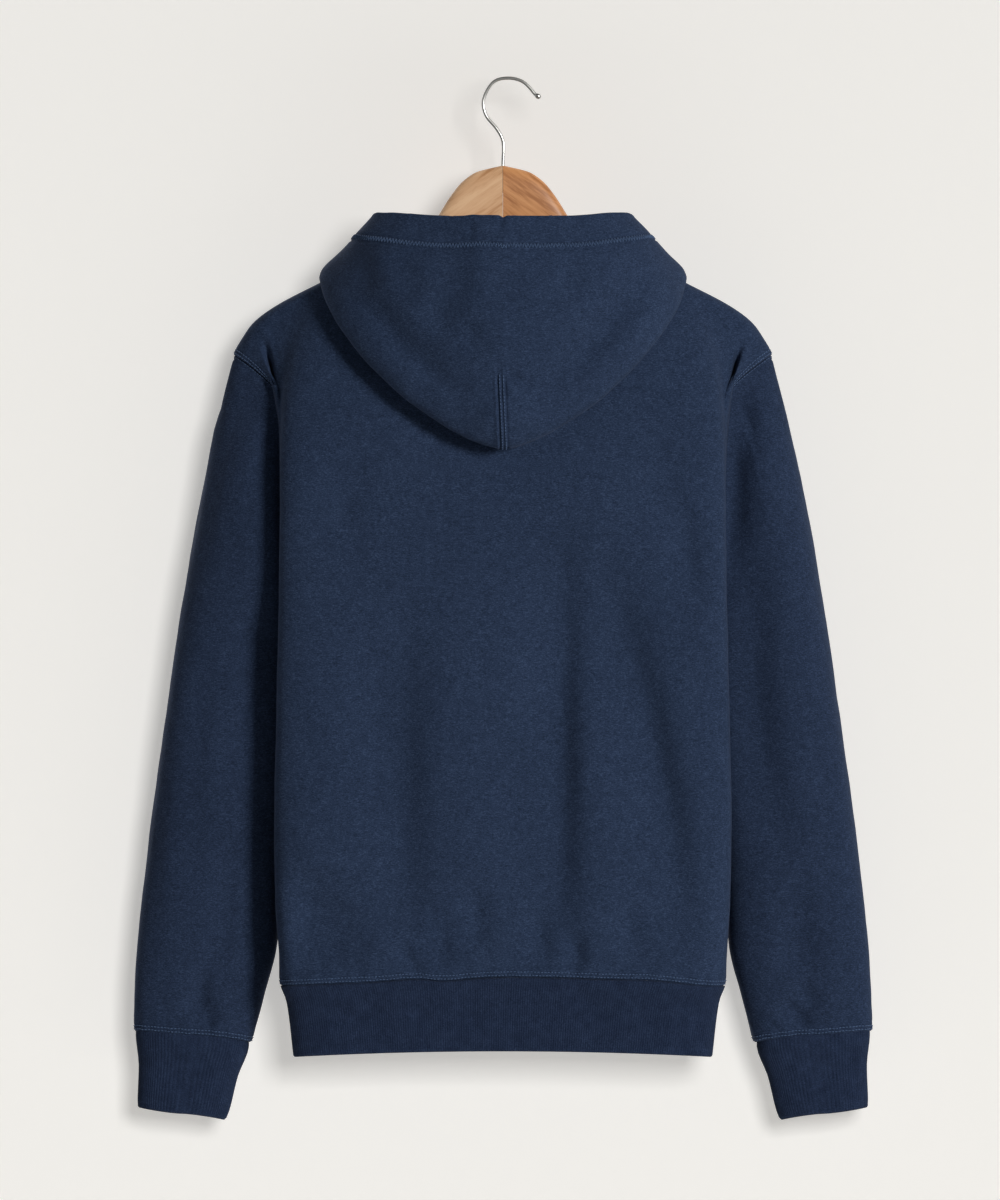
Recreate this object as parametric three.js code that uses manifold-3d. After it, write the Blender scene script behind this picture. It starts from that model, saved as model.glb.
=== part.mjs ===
// Pullover hoodie with its hood hanging open down the back, on a contoured wooden hanger.
// Millimetres, +Z up. The front of the garment faces -Y and the wearer's left side is +X.
// The origin is the inside top of the hook, where a rail carries the hanger.

import * as THREE from 'three';
import Module from 'manifold-3d';

const { lerp, clamp } = THREE.MathUtils;

// Driving dimensions
const FLEECE = 2; // wall of the fleece pieces
const RIB_KNIT = 3; // wall of the doubled rib pieces
const SEAM_GAP = 0.3; // between two pieces that are sewn together
const NECK_HALF = 82; // centre back to the top of the shoulder seam
const SHOULDER_TIP = 230; // centre back to the top of the armhole
const FOLD_TOP = 200; // where the side fold of the back starts on the shoulder
const BACK_NECK_Z = -158;
const FRONT_NECK_Z = -222;
const ARMPIT_Z = -380;
const HEM_SEAM_Z = -761; // at the centre of the back
const HEM_SEAM_DROP = 7; // how much lower the seam is at the sides
const HEM_BOTTOM_Z = -829;
const HEM_BOTTOM_DROP = 3;
const HEM_RIBS = 420;
const CUFF_RIBS = 90;
const RIB_RELIEF = 0.5; // from the top of a rib to the groove beside it
const HANGER_END = 205; // centre to the tip of a hanger arm
const HANGER_SWEEP = 20; // how far the tips are bent to the front
const HANGER_PLAY = 0.7; // between the wood and the cloth that rests on it
const BODY_HALF = 190; // half width of the body at the hem
const WIRE_RADIUS = 1.5;
const HOOK_BORE_PLAY = 0.35;

// Grid counts: columns run from the centre to the side, rows from the top to the bottom
const NECK_COLUMNS = 5;
const SHOULDER_COLUMNS = 6;
const FOLD_COLUMNS = 4;
const HALF_COLUMNS = NECK_COLUMNS + SHOULDER_COLUMNS + FOLD_COLUMNS;
const YOKE_SHARES = [0, 0.012, 0.035, 0.08, 0.15, 0.24, 0.35, 0.48, 0.63, 0.81, 1]; // ridge to armpit
const YOKE_ROWS = YOKE_SHARES.length - 1;
const BODY_ROWS = 6; // from the armpit to the hem
const HOOD_PER_NECK = 2; // hood columns for each column of the neckline

// A smooth curve through values given at rising keys, with no overshoot between them
function smoothCurve(keys, values) {
  const last = keys.length - 1;
  const slopes = keys.slice(1).map((key, i) => (values[i + 1] - values[i]) / (key - keys[i]));
  const tangents = keys.map((_, i) => {
    if (i === 0) return slopes[0];
    if (i === last) return slopes[last - 1];
    const product = slopes[i - 1] * slopes[i];
    return product <= 0 ? 0 : (2 * product) / (slopes[i - 1] + slopes[i]);
  });
  return (key) => {
    const x = clamp(key, keys[0], keys[last]);
    let i = 0;
    while (i < last - 1 && x > keys[i + 1]) i += 1;
    const span = keys[i + 1] - keys[i];
    const s = (x - keys[i]) / span;
    const rise = values[i + 1] - values[i];
    const [start, end] = [tangents[i] * span, tangents[i + 1] * span];
    return values[i] + s * (start + s * (3 * rise - 2 * start - end + s * (start + end - 2 * rise)));
  };
}

// A table with named columns, read as smooth curves of its first column
function table(names, rows) {
  const sorted = [...rows].sort((a, b) => a[0] - b[0]);
  const keys = sorted.map((row) => row[0]);
  const curves = names.slice(1).map((name, i) => {
    const values = sorted.map((row) => row[i + 1]);
    return [name, smoothCurve(keys, values)];
  });
  return (key) => Object.fromEntries(curves.map(([name, curve]) => [name, curve(key)]));
}

// Shape tables

// top of the shoulders, carried on across the neck opening
const shoulderLine = table(
  ['x', 'z'],
  [[0, -125], [40, -128], [82, -137], [120, -154.5], [160, -174.7], [186.6, -188.3], [198.5, -195.5],
    [208, -202.5], [214.6, -209], [222.7, -221], [230, -233]],
);

// sections of the body: the fold at the edge of the back, the side seam, the centres of back and front
const bodySections = table(
  ['z', 'foldX', 'foldY', 'seamX', 'seamY', 'backY', 'frontY'],
  [
    [-380, 189.5, 18, 160, -26, 50, -98],
    [-468, 191, 18, 160, -26, 50, -98],
    [-553, 193, 14, 166, -25, 48, -94],
    [-638, 194.5, 6, 177, -20, 45, -86],
    [-700, 193.5, 0, 187, -14, 42, -78],
    [-768, 189.5, -3, 187.5, -9, 39, -70],
    [-784, 184, -3, 182.2, -9, 37, -66],
    [-832, 178, -3, 176.3, -9, 34, -60],
  ],
);

// sleeve below the armpit: its outer and inner edge, its middle and half its depth
const sleeveSections = table(
  ['z', 'outX', 'inX', 'midY', 'halfDepth'],
  [
    [-430, 270.5, 166, -43, 46],
    [-480, 278.5, 167, -43, 46],
    [-530, 285.5, 169, -42, 44],
    [-580, 292.5, 175, -41, 42],
    [-630, 299.5, 182, -41, 39],
    [-680, 305.3, 188, -40, 35],
    [-730, 310.7, 192, -39, 30],
    [-770, 313.4, 202.5, -38, 26],
    [-809, 314.5, 213.5, -38, 23],
  ],
);
const SLEEVE_STATIONS = [-430, -480, -530, -580, -630, -680, -725, -768, -809];
const CUFF_SEAM_TILT = 10; // how much lower the cuff seam is at the inner edge

// cuff, by the share of its length
const cuffSections = table(
  ['share', 'outX', 'inX', 'outZ', 'inZ', 'halfDepth'],
  [
    [0, 313, 215, -809, -819, 22.5],
    [0.45, 310, 225.5, -839, -848, 19.5],
    [1, 311, 234.5, -875, -883, 17.5],
  ],
);
const CUFF_MID_Y = -38;

// front half of the hood, from the centre front (turn 0) to the shoulder (turn 1), and its rim all
// the way to the centre back (turn 2); the tip of its back half is a formula
const hoodTip = table(
  ['turn', 'x', 'y', 'z'],
  [
    [0, 0.6, -72, -230],
    [0.25, 42, -70, -222],
    [0.5, 84, -58, -208],
    [0.75, 124, -38, -190],
    [1, 156, -11, -169.2],
  ],
);
const hoodRim = table(
  ['turn', 'x', 'y', 'z', 'roll', 'bulge'],
  [
    [0, 0.6, -76, -206, 3, 0],
    [0.25, 34, -72, -190, 3.5, 1],
    [0.5, 68, -56, -163, 4, 2],
    [0.75, 96, -26, -134, 4, 2],
    [1, 112, 16, -113, 3.5, 2],
    [1.25, 98, 44, -112.5, 7, 8],
    [1.5, 72, 60, -114, 9, 14],
    [2, 0, 72, -117.5, 10, 18],
  ],
);
const HOOD_WIDEST = { x: 156, z: -169.2 };
const HOOD_POINT = { y: 60, z: -316.6 };
const HOOD_STAND = 12; // how far the hood rises from the neckline before it turns over
const HOOD_BEND = 4.2;
const HOOD_CLEAR = 0.9; // between the hood and the panel that it lies on

// hanger arm: its top as the height over the shoulder seam's inside, its bottom and its thickness
const armSections = table(
  ['x', 'hump', 'bottom', 'thick'],
  [
    [0, 55, -128, 14],
    [21.7, 51, -130, 14],
    [34, 43.9, -134, 14],
    [44, 33.1, -140, 14],
    [55, 17.5, -148, 14],
    [63, 6, -154, 13.6],
    [72, -0.5, -161, 12.4],
    [100, -0.6, -176, 12],
    [150, -0.6, -198, 11.6],
    [186, -1, -212, 10.8],
    [200, -2.2, -216, 9.6],
    [205, -5.5, -215, 6],
  ],
);
const ARM_STATIONS = [
  SEAM_GAP / 2, 12, 22, 34, 44, 55, 63, 72, 86, 104, 124, 145, 166, 184, 196, 202, HANGER_END,
];
const ARM_SIDES = 16;
const ARM_SQUARENESS = 2.4; // 2 would be an ellipse

// centre line of the hook wire, from the wood to its tip
const HOOK_LINE = [
  [0, -96], [0, -73], [0, -52], [5, -42], [14.4, -30], [16.5, -17.5], [7.5, -1.5],
  [-5.4, WIRE_RADIUS], [-16.5, -1.3], [-23, -7], [-27.5, -12.3], [-32.4, -15.3],
];

// soft troughs of the panels and the sleeves: their two ends in X and Z, half width and depth
const TROUGHS = {
  back: [
    { x1: -59, z1: -440, x2: -60, z2: -752, width: 15, depth: 4.5 },
    { x1: -108, z1: -440, x2: -160, z2: -705, width: 15, depth: 4 },
    { x1: 74, z1: -400, x2: 76, z2: -735, width: 17, depth: 3 },
    { x1: 160, z1: -640, x2: 150, z2: -755, width: 16, depth: 3.5 },
  ],
  front: [
    { x1: 62, z1: -330, x2: 70, z2: -700, width: 18, depth: 4 },
    { x1: -48, z1: -360, x2: -64, z2: -740, width: 18, depth: 4 },
    { x1: -120, z1: -420, x2: -110, z2: -650, width: 15, depth: 3 },
  ],
  sleeve_left: [
    { x1: 246, z1: -450, x2: 262, z2: -690, width: 14, depth: 3.5 },
    { x1: 262, z1: -782, x2: 228, z2: -800, width: 10, depth: 3 },
  ],
  sleeve_right: [
    { x1: -222, z1: -470, x2: -232, z2: -660, width: 14, depth: 4 },
    { x1: -268, z1: -778, x2: -238, z2: -800, width: 10, depth: 3.5 },
  ],
};

// Points along a path, by the share of its length
function pointAlong(path, share) {
  const lengths = [0];
  for (let i = 1; i < path.length; i += 1) {
    lengths.push(lengths[i - 1] + path[i].distanceTo(path[i - 1]));
  }
  const target = share * lengths[lengths.length - 1];
  let i = 1;
  while (i < path.length - 1 && lengths[i] < target) i += 1;
  const s = clamp((target - lengths[i - 1]) / (lengths[i] - lengths[i - 1]), 0, 1);
  return path[i - 1].clone().lerp(path[i], s);
}

// A quarter of a rounded outline from (0, endY) to (sideX, sideY)
const OUTLINE_STEPS = 60;
const BACK_SQUARENESS = 3.2;
const FRONT_SQUARENESS = 2.7;
function quarterOutline(endY, sideX, sideY, squareness) {
  return Array.from({ length: OUTLINE_STEPS + 1 }, (_, i) => {
    const angle = (Math.PI / 2) * (i / OUTLINE_STEPS);
    const across = Math.abs(Math.sin(angle)) ** (2 / squareness);
    const along = Math.abs(Math.cos(angle)) ** (2 / squareness);
    return new THREE.Vector2(sideX * across, sideY + (endY - sideY) * along);
  });
}

// The hem seam and the hem's edge are a little lower at the sides
function hemLine(middleZ, drop, x) {
  return middleZ - drop * Math.min(1, Math.abs(x) / BODY_HALF) ** 2;
}

// Half sections of the body at one height
const FOLD_ROUND = 14; // how straight the back runs on past its edge before it turns in
const FOLD_LEAN = { x: 0.35, y: 0.25 }; // where it comes back to the side seam, as shares of the way
function halfSection(z) {
  const s = bodySections(z);
  const seam = new THREE.Vector2(s.seamX, s.seamY);
  const edge = new THREE.Vector2(s.foldX, s.foldY);
  const turn = Math.min(FOLD_ROUND, edge.distanceTo(seam) / 2);
  const inward = new THREE.CubicBezierCurve(
    edge,
    new THREE.Vector2(s.foldX, s.foldY - turn),
    new THREE.Vector2(lerp(s.seamX, s.foldX, FOLD_LEAN.x), lerp(s.seamY, s.foldY, FOLD_LEAN.y)),
    seam,
  );
  return {
    back: quarterOutline(s.backY, s.foldX, s.foldY, BACK_SQUARENESS),
    fold: inward.getPoints(OUTLINE_STEPS),
    front: quarterOutline(s.frontY, s.seamX, s.seamY, FRONT_SQUARENESS),
  };
}

// Where column k of a panel lies on the half section
const SHOULDER_START = NECK_COLUMNS + SHOULDER_COLUMNS;
const NECK_SHARE = 0.5; // of the back's outline, below the neck opening
function columnPoint(side, section, k) {
  if (side === 'front') return pointAlong(section.front, k / HALF_COLUMNS);
  if (k <= NECK_COLUMNS) return pointAlong(section.back, (NECK_SHARE * k) / NECK_COLUMNS);
  if (k <= SHOULDER_START) {
    const share = Math.sin((Math.PI / 2) * ((k - NECK_COLUMNS) / SHOULDER_COLUMNS));
    return pointAlong(section.back, lerp(NECK_SHARE, 1, share));
  }
  return pointAlong(section.fold, 1 - Math.cos((Math.PI / 2) * ((k - SHOULDER_START) / FOLD_COLUMNS)));
}

// The ridge of the shoulders, which follows the hanger's bend to the front
function ridge(x) {
  return new THREE.Vector3(x, -HANGER_SWEEP * (x / HANGER_END) ** 2, shoulderLine(Math.abs(x)).z);
}

// Where column k of a panel starts: on the neckline or on the shoulder seam
const NECK_ROUND = 0.75;
const NECK_CURVE = { back: 2.2, front: 2.4 };
const NECK_Z = { back: BACK_NECK_Z, front: FRONT_NECK_Z };
function columnTop(side, k) {
  if (k <= NECK_COLUMNS) {
    const share = Math.sin((Math.PI / 2) * (k / NECK_COLUMNS)) ** NECK_ROUND;
    const z = lerp(NECK_Z[side], ridge(NECK_HALF).z, share ** NECK_CURVE[side]);
    return { x: NECK_HALF * share, z };
  }
  const x = k <= SHOULDER_START
    ? lerp(NECK_HALF, FOLD_TOP, (k - NECK_COLUMNS) / SHOULDER_COLUMNS)
    : lerp(FOLD_TOP, SHOULDER_TIP, (k - SHOULDER_START) / FOLD_COLUMNS);
  return { x, z: ridge(x).z };
}

// A vertex keeps its place on the outer face, its direction outwards and its seam pull
function vertex(x, y, z) {
  return { at: new THREE.Vector3(x, y, z), out: new THREE.Vector3() };
}

// One point above the armpit: the panel falls from the ridge and rounds over to the section below
const SHOULDER_ROUND = { back: 2.2, front: 1.4 };
const RIDGE_HALF = 10; // the cloth lies over the wood this far to the front and the back
const RIDGE_FALL = 7;
const ARMHOLE_BOW = { back: 30, front: -30 };
const ARMHOLE_SWEEP = 3.2;
const ARMHOLE_SKEW = 1.3;
function yokePoint(side, k, rise) {
  const top = columnTop(side, k);
  const foot = columnPoint(side, halfSection(ARMPIT_Z), k);
  const crest = ridge(top.x);
  const x = lerp(foot.x, top.x, rise ** ARMHOLE_SWEEP);
  const z = lerp(ARMPIT_Z, top.z, rise);
  const drop = (crest.z - z) / (crest.z - ARMPIT_Z);
  const power = SHOULDER_ROUND[side];
  const rounded = 1 - (1 - drop) ** power;
  const fall = Math.min((crest.z - z) / RIDGE_FALL, 1);
  const shelf = Math.sign(ARMHOLE_BOW[side]) * RIDGE_HALF * Math.sqrt(fall * (2 - fall)) * (1 - rounded);
  const nearArmhole = clamp((k - SHOULDER_START) / FOLD_COLUMNS, 0, 1);
  const bow = ARMHOLE_BOW[side] * Math.sin(Math.PI * rise ** ARMHOLE_SKEW) * nearArmhole;
  return vertex(x, lerp(crest.y, foot.y, rounded) + shelf + bow, z);
}

// How deep the troughs of a piece are at a place seen from behind or in front
const TROUGH_FADE = 0.7; // below 1 the depth rises quickly from the two ends
function troughDepth(troughs, x, z) {
  return troughs.reduce((sum, t) => {
    const [dx, dz] = [t.x2 - t.x1, t.z2 - t.z1];
    const length = Math.hypot(dx, dz);
    const along = ((x - t.x1) * dx + (z - t.z1) * dz) / length ** 2;
    const across = Math.abs((x - t.x1) * dz - (z - t.z1) * dx) / length;
    const fade = Math.sin(Math.PI * clamp(along, 0, 1)) ** TROUGH_FADE;
    return sum + t.depth * fade * Math.exp(-((across / t.width) ** 2));
  }, 0);
}

// A panel's outer face as rows of vertices from one side seam to the other
function panelGrid(side) {
  const rows = [];
  for (let j = 0; j <= YOKE_ROWS + BODY_ROWS; j += 1) {
    const row = [];
    for (let m = -HALF_COLUMNS; m <= HALF_COLUMNS; m += 1) {
      const k = Math.abs(m);
      let point;
      if (j <= YOKE_ROWS) {
        point = yokePoint(side, k, 1 - YOKE_SHARES[j]);
      } else {
        const share = (j - YOKE_ROWS) / BODY_ROWS;
        const middle = columnPoint(side, halfSection(lerp(ARMPIT_Z, HEM_SEAM_Z, share)), k);
        const seamZ = hemLine(HEM_SEAM_Z, HEM_SEAM_DROP, middle.x);
        const z = lerp(ARMPIT_Z, seamZ, share);
        const flat = columnPoint(side, halfSection(z), k);
        point = vertex(flat.x, flat.y, z);
      }
      point.at.x *= Math.sign(m);
      row.push(point);
    }
    rows.push(row);
  }
  const push = side === 'back' ? -1 : 1;
  rows.slice(1).forEach((row) => row.forEach((v) => {
    if (Math.abs(v.at.x) < bodySections(v.at.z).foldX - FOLD_ROUND) {
      v.at.y += push * troughDepth(TROUGHS[side], v.at.x, v.at.z);
    }
  }));
  return rows;
}

// Directions outwards, from the faces round each vertex; flip is -1 where the rows run the other way
function setOutward(rows, closed, flip) {
  const width = rows[0].length;
  rows.forEach((row, j) => row.forEach((v, i) => {
    const left = row[closed ? (i + width - 1) % width : Math.max(i - 1, 0)];
    const right = row[closed ? (i + 1) % width : Math.min(i + 1, width - 1)];
    const up = rows[Math.max(j - 1, 0)][i];
    const down = rows[Math.min(j + 1, rows.length - 1)][i];
    const across = right.at.clone().sub(left.at).normalize();
    const along = down.at.clone().sub(up.at).normalize();
    v.out.crossVectors(across, along).multiplyScalar(flip).normalize();
  }));
}

// Vertices of several pieces that meet at one seam point get one direction
function share(...vertices) {
  const sum = vertices.reduce((total, v) => total.add(v.out), new THREE.Vector3()).normalize();
  vertices.forEach((v) => v.out.copy(sum));
}

// Draws the edge of a piece back from its seam, square to it, towards the next row or column
function drawBack(edge, next, distance, closed = false) {
  const count = edge.length;
  const steps = edge.map((v, i) => {
    const before = closed ? edge[(i + count - 1) % count] : edge[Math.max(i - 1, 0)];
    const after = closed ? edge[(i + 1) % count] : edge[Math.min(i + 1, count - 1)];
    const along = after.at.clone().sub(before.at).normalize();
    const step = next[i].at.clone().sub(v.at);
    return step.addScaledVector(along, -step.dot(along)).normalize();
  });
  edge.forEach((v, i) => v.at.addScaledVector(steps[i], distance));
}

// A closed wall: the outer face, the same moved inwards, and the edges between them
function wall(rows, closed, thickness) {
  const outer = rows.map((row) => row.map((v) => v.at));
  const inner = rows.map((row) => row.map((v) => v.at.clone().addScaledVector(v.out, -thickness)));
  return joinFaces(outer, inner, closed);
}

// Two grids with their own column counts, joined at the top and bottom and, if open, at the sides
function joinFaces(outer, inner, closed) {
  const points = [];
  const triangles = [];
  const number = (grid) => grid.map((row) => row.map((p) => points.push(p) - 1));
  const [outs, ins] = [number(outer), number(inner)];
  const wrap = (row, i) => row[i % row.length];
  const face = (grid, turned) => {
    const last = grid[0].length - (closed ? 0 : 1);
    for (let j = 0; j < grid.length - 1; j += 1) {
      for (let i = 0; i < last; i += 1) {
        const [a, b] = [wrap(grid[j], i), wrap(grid[j], i + 1)];
        const [c, d] = [wrap(grid[j + 1], i + 1), wrap(grid[j + 1], i)];
        triangles.push(...(turned ? [[a, c, b], [a, d, c]] : [[a, b, c], [a, c, d]]));
      }
    }
  };
  face(outs, false);
  face(ins, true);
  const strip = (first, second, turned) => {
    const [n, m] = [first.length, second.length].map((count) => count - (closed ? 0 : 1));
    let [i, j] = [0, 0];
    while (i < n || j < m) {
      const stepFirst = j >= m || (i < n && (i + 0.5) / n <= (j + 0.5) / m);
      const third = stepFirst ? wrap(first, i + 1) : wrap(second, j + 1);
      const [a, b] = [wrap(first, i), wrap(second, j)];
      triangles.push(turned ? [a, b, third] : [a, third, b]);
      if (stepFirst) i += 1;
      else j += 1;
    }
  };
  strip(outs[0], ins[0], true);
  strip(outs[outs.length - 1], ins[ins.length - 1], false);
  if (!closed) {
    const edge = (grid, at) => grid.map((row) => row.at(at));
    const side = (first, second, turned) => {
      for (let j = 0; j < first.length - 1; j += 1) {
        const [a, b, c, d] = [first[j], second[j], second[j + 1], first[j + 1]];
        triangles.push(...(turned ? [[a, c, b], [a, d, c]] : [[a, b, c], [a, c, d]]));
      }
    };
    side(edge(outs, 0), edge(ins, 0), true);
    side(edge(outs, -1), edge(ins, -1), false);
  }
  return closedGeometry(points, triangles);
}

// A geometry with its faces pointing out, whichever way the grids ran
function closedGeometry(points, triangles) {
  const volume = triangles.reduce((sum, [a, b, c]) => (
    sum + points[a].dot(points[b].clone().cross(points[c]))
  ), 0);
  const index = triangles.flatMap(([a, b, c]) => (volume < 0 ? [a, c, b] : [a, b, c]));
  const geometry = new THREE.BufferGeometry();
  const places = points.flatMap((p) => p.toArray());
  geometry.setAttribute('position', new THREE.Float32BufferAttribute(places, 3));
  geometry.setIndex(index);
  geometry.computeVertexNormals();
  return geometry;
}

// Sleeve: rings of vertices that start on the armhole, run round by way of the back
const SLEEVE_BLEND = [0.14, 0.34, 0.62, 1];
const SLEEVE_LEAN = 0.26; // outward lean where the top of the sleeve leaves the armhole
const SLEEVE_RETURN = 0.6; // how much of that lean is undone below the armpit
const SLEEVE_REACH = 0.36;
const CUFF_SEAM_CURVE = 1.5; // how late, from the outer edge inwards, the cuff seam drops
const SLEEVE_STAND_OFF = 0.6; // how far the sleeve stands off the body under the arm
function sleeveGrid(loop, mirror, troughs) {
  const count = loop.length;
  const ovalPoint = (s, i, z) => {
    const angle = (2 * Math.PI * i) / count;
    const middle = (s.outX + s.inX) / 2;
    const half = (s.outX - s.inX) / 2;
    return vertex(mirror * (middle + half * Math.cos(angle)), s.midY + s.halfDepth * Math.sin(angle), z);
  };
  const rows = [loop.map((v) => vertex(...v.at.toArray()))];
  const first = sleeveSections(SLEEVE_STATIONS[0]);
  SLEEVE_BLEND.forEach((blend) => {
    rows.push(loop.map((v, i) => {
      const end = ovalPoint(first, i, SLEEVE_STATIONS[0]).at;
      const reach = (v.at.z - end.z) * SLEEVE_REACH;
      const topness = (1 + Math.cos((2 * Math.PI * i) / count)) / 2;
      const lean = mirror * SLEEVE_LEAN * topness;
      const off = v.out.clone().setZ(0).multiplyScalar(SLEEVE_STAND_OFF * (1 - topness));
      const path = new THREE.CubicBezierCurve3(
        v.at,
        v.at.clone().addScaledVector(new THREE.Vector3(lean, 0, -1).add(off), reach),
        end.clone().addScaledVector(new THREE.Vector3(-SLEEVE_RETURN * lean, 0, 1), reach),
        end,
      );
      const point = path.getPoint(blend);
      return vertex(point.x, point.y, point.z);
    }));
  });
  SLEEVE_STATIONS.slice(1).forEach((z, step) => {
    const progress = (step + 1) / (SLEEVE_STATIONS.length - 1);
    const s = sleeveSections(z);
    rows.push(loop.map((_, i) => {
      const inwards = (1 - Math.cos((2 * Math.PI * i) / count)) / 2;
      return ovalPoint(s, i, z - CUFF_SEAM_TILT * inwards ** CUFF_SEAM_CURVE * progress ** 3);
    }));
  });
  rows.slice(2).forEach((row) => row.forEach((v) => {
    const depth = troughDepth(troughs, v.at.x, v.at.z);
    v.at.y -= Math.sign(v.at.y - first.midY) * depth;
  }));
  return rows;
}

// Rib knit: the outer face has a crest and a groove for each rib over a plain inner face
function ribWall(ring, ribs, levels, plainColumns) {
  const face = (columns, relief) => levels.map((level) => Array.from({ length: columns }, (_, i) => {
    const { at, out } = ring(i / columns, level);
    return at.addScaledVector(out, relief(i));
  }));
  const outer = face(2 * ribs, (i) => (i % 2 ? -RIB_RELIEF : 0));
  const inner = face(plainColumns, () => -RIB_KNIT);
  return joinFaces(outer, inner, true);
}

// One place on the hem band: turn runs once round from the left side seam by way of the back
const HEM_STEPS = 240;
function hemOutline(level) {
  return Array.from({ length: HEM_STEPS }, (_, i) => {
    const quarter = Math.floor((4 * i) / HEM_STEPS);
    const within = (4 * i) / HEM_STEPS - quarter;
    const share = quarter % 2 ? within : 1 - within;
    const mirror = quarter === 0 || quarter === 3 ? 1 : -1;
    const flat = hemQuarter(quarter < 2 ? 'back' : 'front', share, level);
    return new THREE.Vector3(mirror * flat.x, flat.y, flat.z);
  });
}

// A point of the hem band from the centre (share 0) to the side seam (share 1)
function hemQuarter(side, share, level) {
  const middleZ = lerp(HEM_SEAM_Z, HEM_BOTTOM_Z, level);
  const drop = lerp(HEM_SEAM_DROP, HEM_BOTTOM_DROP, level);
  const place = (z) => {
    const section = halfSection(z);
    if (side === 'front') return pointAlong(section.front, share);
    return pointAlong([...section.back, ...section.fold.slice(1)], share);
  };
  const z = hemLine(middleZ, drop, place(middleZ).x);
  const flat = place(z);
  return { x: flat.x, y: flat.y, z };
}

// Hood: one profile for each column, from the neckline over the roll and down to the tip, up to the rim
const INNER_SHARES = [1 / 3, 2 / 3];
const OUTER_SHARES = [0.3, 0.66];
const STAND = [ // the stand of the hood: shares of its bend outwards and of its height
  { across: 0.05, up: 0.65 },
  { across: 1, up: 1 },
  { across: 2, up: 0.6 },
];
const POINT_SET_IN = 8; // the lowest point of the hood lies this much nearer the back
const POINT_ROUND = { x: 4 / 3, y: 0.6 };
const SWELL_SIDEWAYS = 0.2;
function hoodProfile(seam, turn, mirror, keepOff) {
  const rim = hoodRim(turn);
  const rimPoint = new THREE.Vector3(mirror * rim.x, rim.y, rim.z);
  let tip;
  if (turn <= 1) {
    const t = hoodTip(turn);
    tip = new THREE.Vector3(mirror * t.x, t.y, t.z);
  } else {
    const angle = (Math.PI / 2) * (turn - 1);
    const x = mirror * HOOD_WIDEST.x * Math.max(Math.cos(angle), 0) ** POINT_ROUND.x;
    const y = HOOD_POINT.y * Math.sin(angle) ** POINT_ROUND.y - POINT_SET_IN;
    const sink = Math.sin(angle) ** POINT_ROUND.x;
    tip = new THREE.Vector3(x, y, lerp(HOOD_WIDEST.z, HOOD_POINT.z, sink));
  }
  const normal = keepOff.normalAt(tip);
  tip = keepOff.push(tip, HOOD_CLEAR + rim.roll);
  const upwards = new THREE.Vector3().lerpVectors(seam, rimPoint, 0.5).sub(tip).normalize();
  const inTip = tip.clone().addScaledVector(upwards, rim.roll).addScaledVector(normal, -rim.roll);
  const outTip = tip.clone().addScaledVector(upwards, rim.roll).addScaledVector(normal, rim.roll);
  const away = inTip.clone().sub(seam).setZ(0).normalize();
  const stand = [
    seam.clone(),
    ...STAND.map(({ across, up }) => (
      seam.clone().addScaledVector(away, across * HOOD_BEND).add(new THREE.Vector3(0, 0, up * HOOD_STAND))
    )),
  ];
  const inner = INNER_SHARES.map((s) => keepOff.push(stand.at(-1).clone().lerp(inTip, s), HOOD_CLEAR));
  const swell = new THREE.Vector3(rimPoint.x * SWELL_SIDEWAYS, rimPoint.y, 0).normalize();
  const outer = OUTER_SHARES.map((s) => (
    outTip.clone().lerp(rimPoint, s).addScaledVector(swell, rim.bulge * Math.sin(Math.PI * s))
  ));
  return [...stand, ...inner, keepOff.push(inTip, HOOD_CLEAR), tip, outTip, ...outer, rimPoint]
    .map((p) => vertex(p.x, p.y, p.z));
}

// Nearest place on the outer faces of the panels, to keep the hood clear of them
function surfaceOf(grids) {
  const faces = grids.flatMap((rows) => rows.slice(1).flatMap((row, j) => (
    row.slice(1).flatMap((v, i) => {
      const [a, b, c, d] = [rows[j][i], rows[j][i + 1], v, row[i]];
      return [[a, b, c], [a, c, d]];
    })
  ))).map((corners) => {
    const triangle = new THREE.Triangle(...corners.map((v) => v.at));
    const centre = triangle.getMidpoint(new THREE.Vector3());
    const radius = Math.max(...corners.map((v) => v.at.distanceTo(centre)));
    const normal = corners.reduce((sum, v) => sum.add(v.out), new THREE.Vector3()).normalize();
    return { triangle, centre, radius, normal };
  });
  const nearest = (point) => {
    let best = { distance: Infinity };
    const foot = new THREE.Vector3();
    faces.forEach(({ triangle, centre, radius, normal }) => {
      if (centre.distanceTo(point) - radius > best.distance) return;
      triangle.closestPointToPoint(point, foot);
      const distance = foot.distanceTo(point);
      if (distance < best.distance) best = { distance, foot: foot.clone(), normal };
    });
    return best;
  };
  return {
    normalAt: (point) => nearest(point).normal,
    push(point, clear) {
      const { foot, normal } = nearest(point);
      const height = point.clone().sub(foot).dot(normal);
      return height < clear ? foot.clone().addScaledVector(normal, clear) : point;
    },
    lift(point, clear) {
      const { foot, normal } = nearest(point);
      const missing = clear - point.clone().sub(foot).dot(normal);
      return missing > 0 ? normal.clone().multiplyScalar(missing) : null;
    },
  };
}

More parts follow.
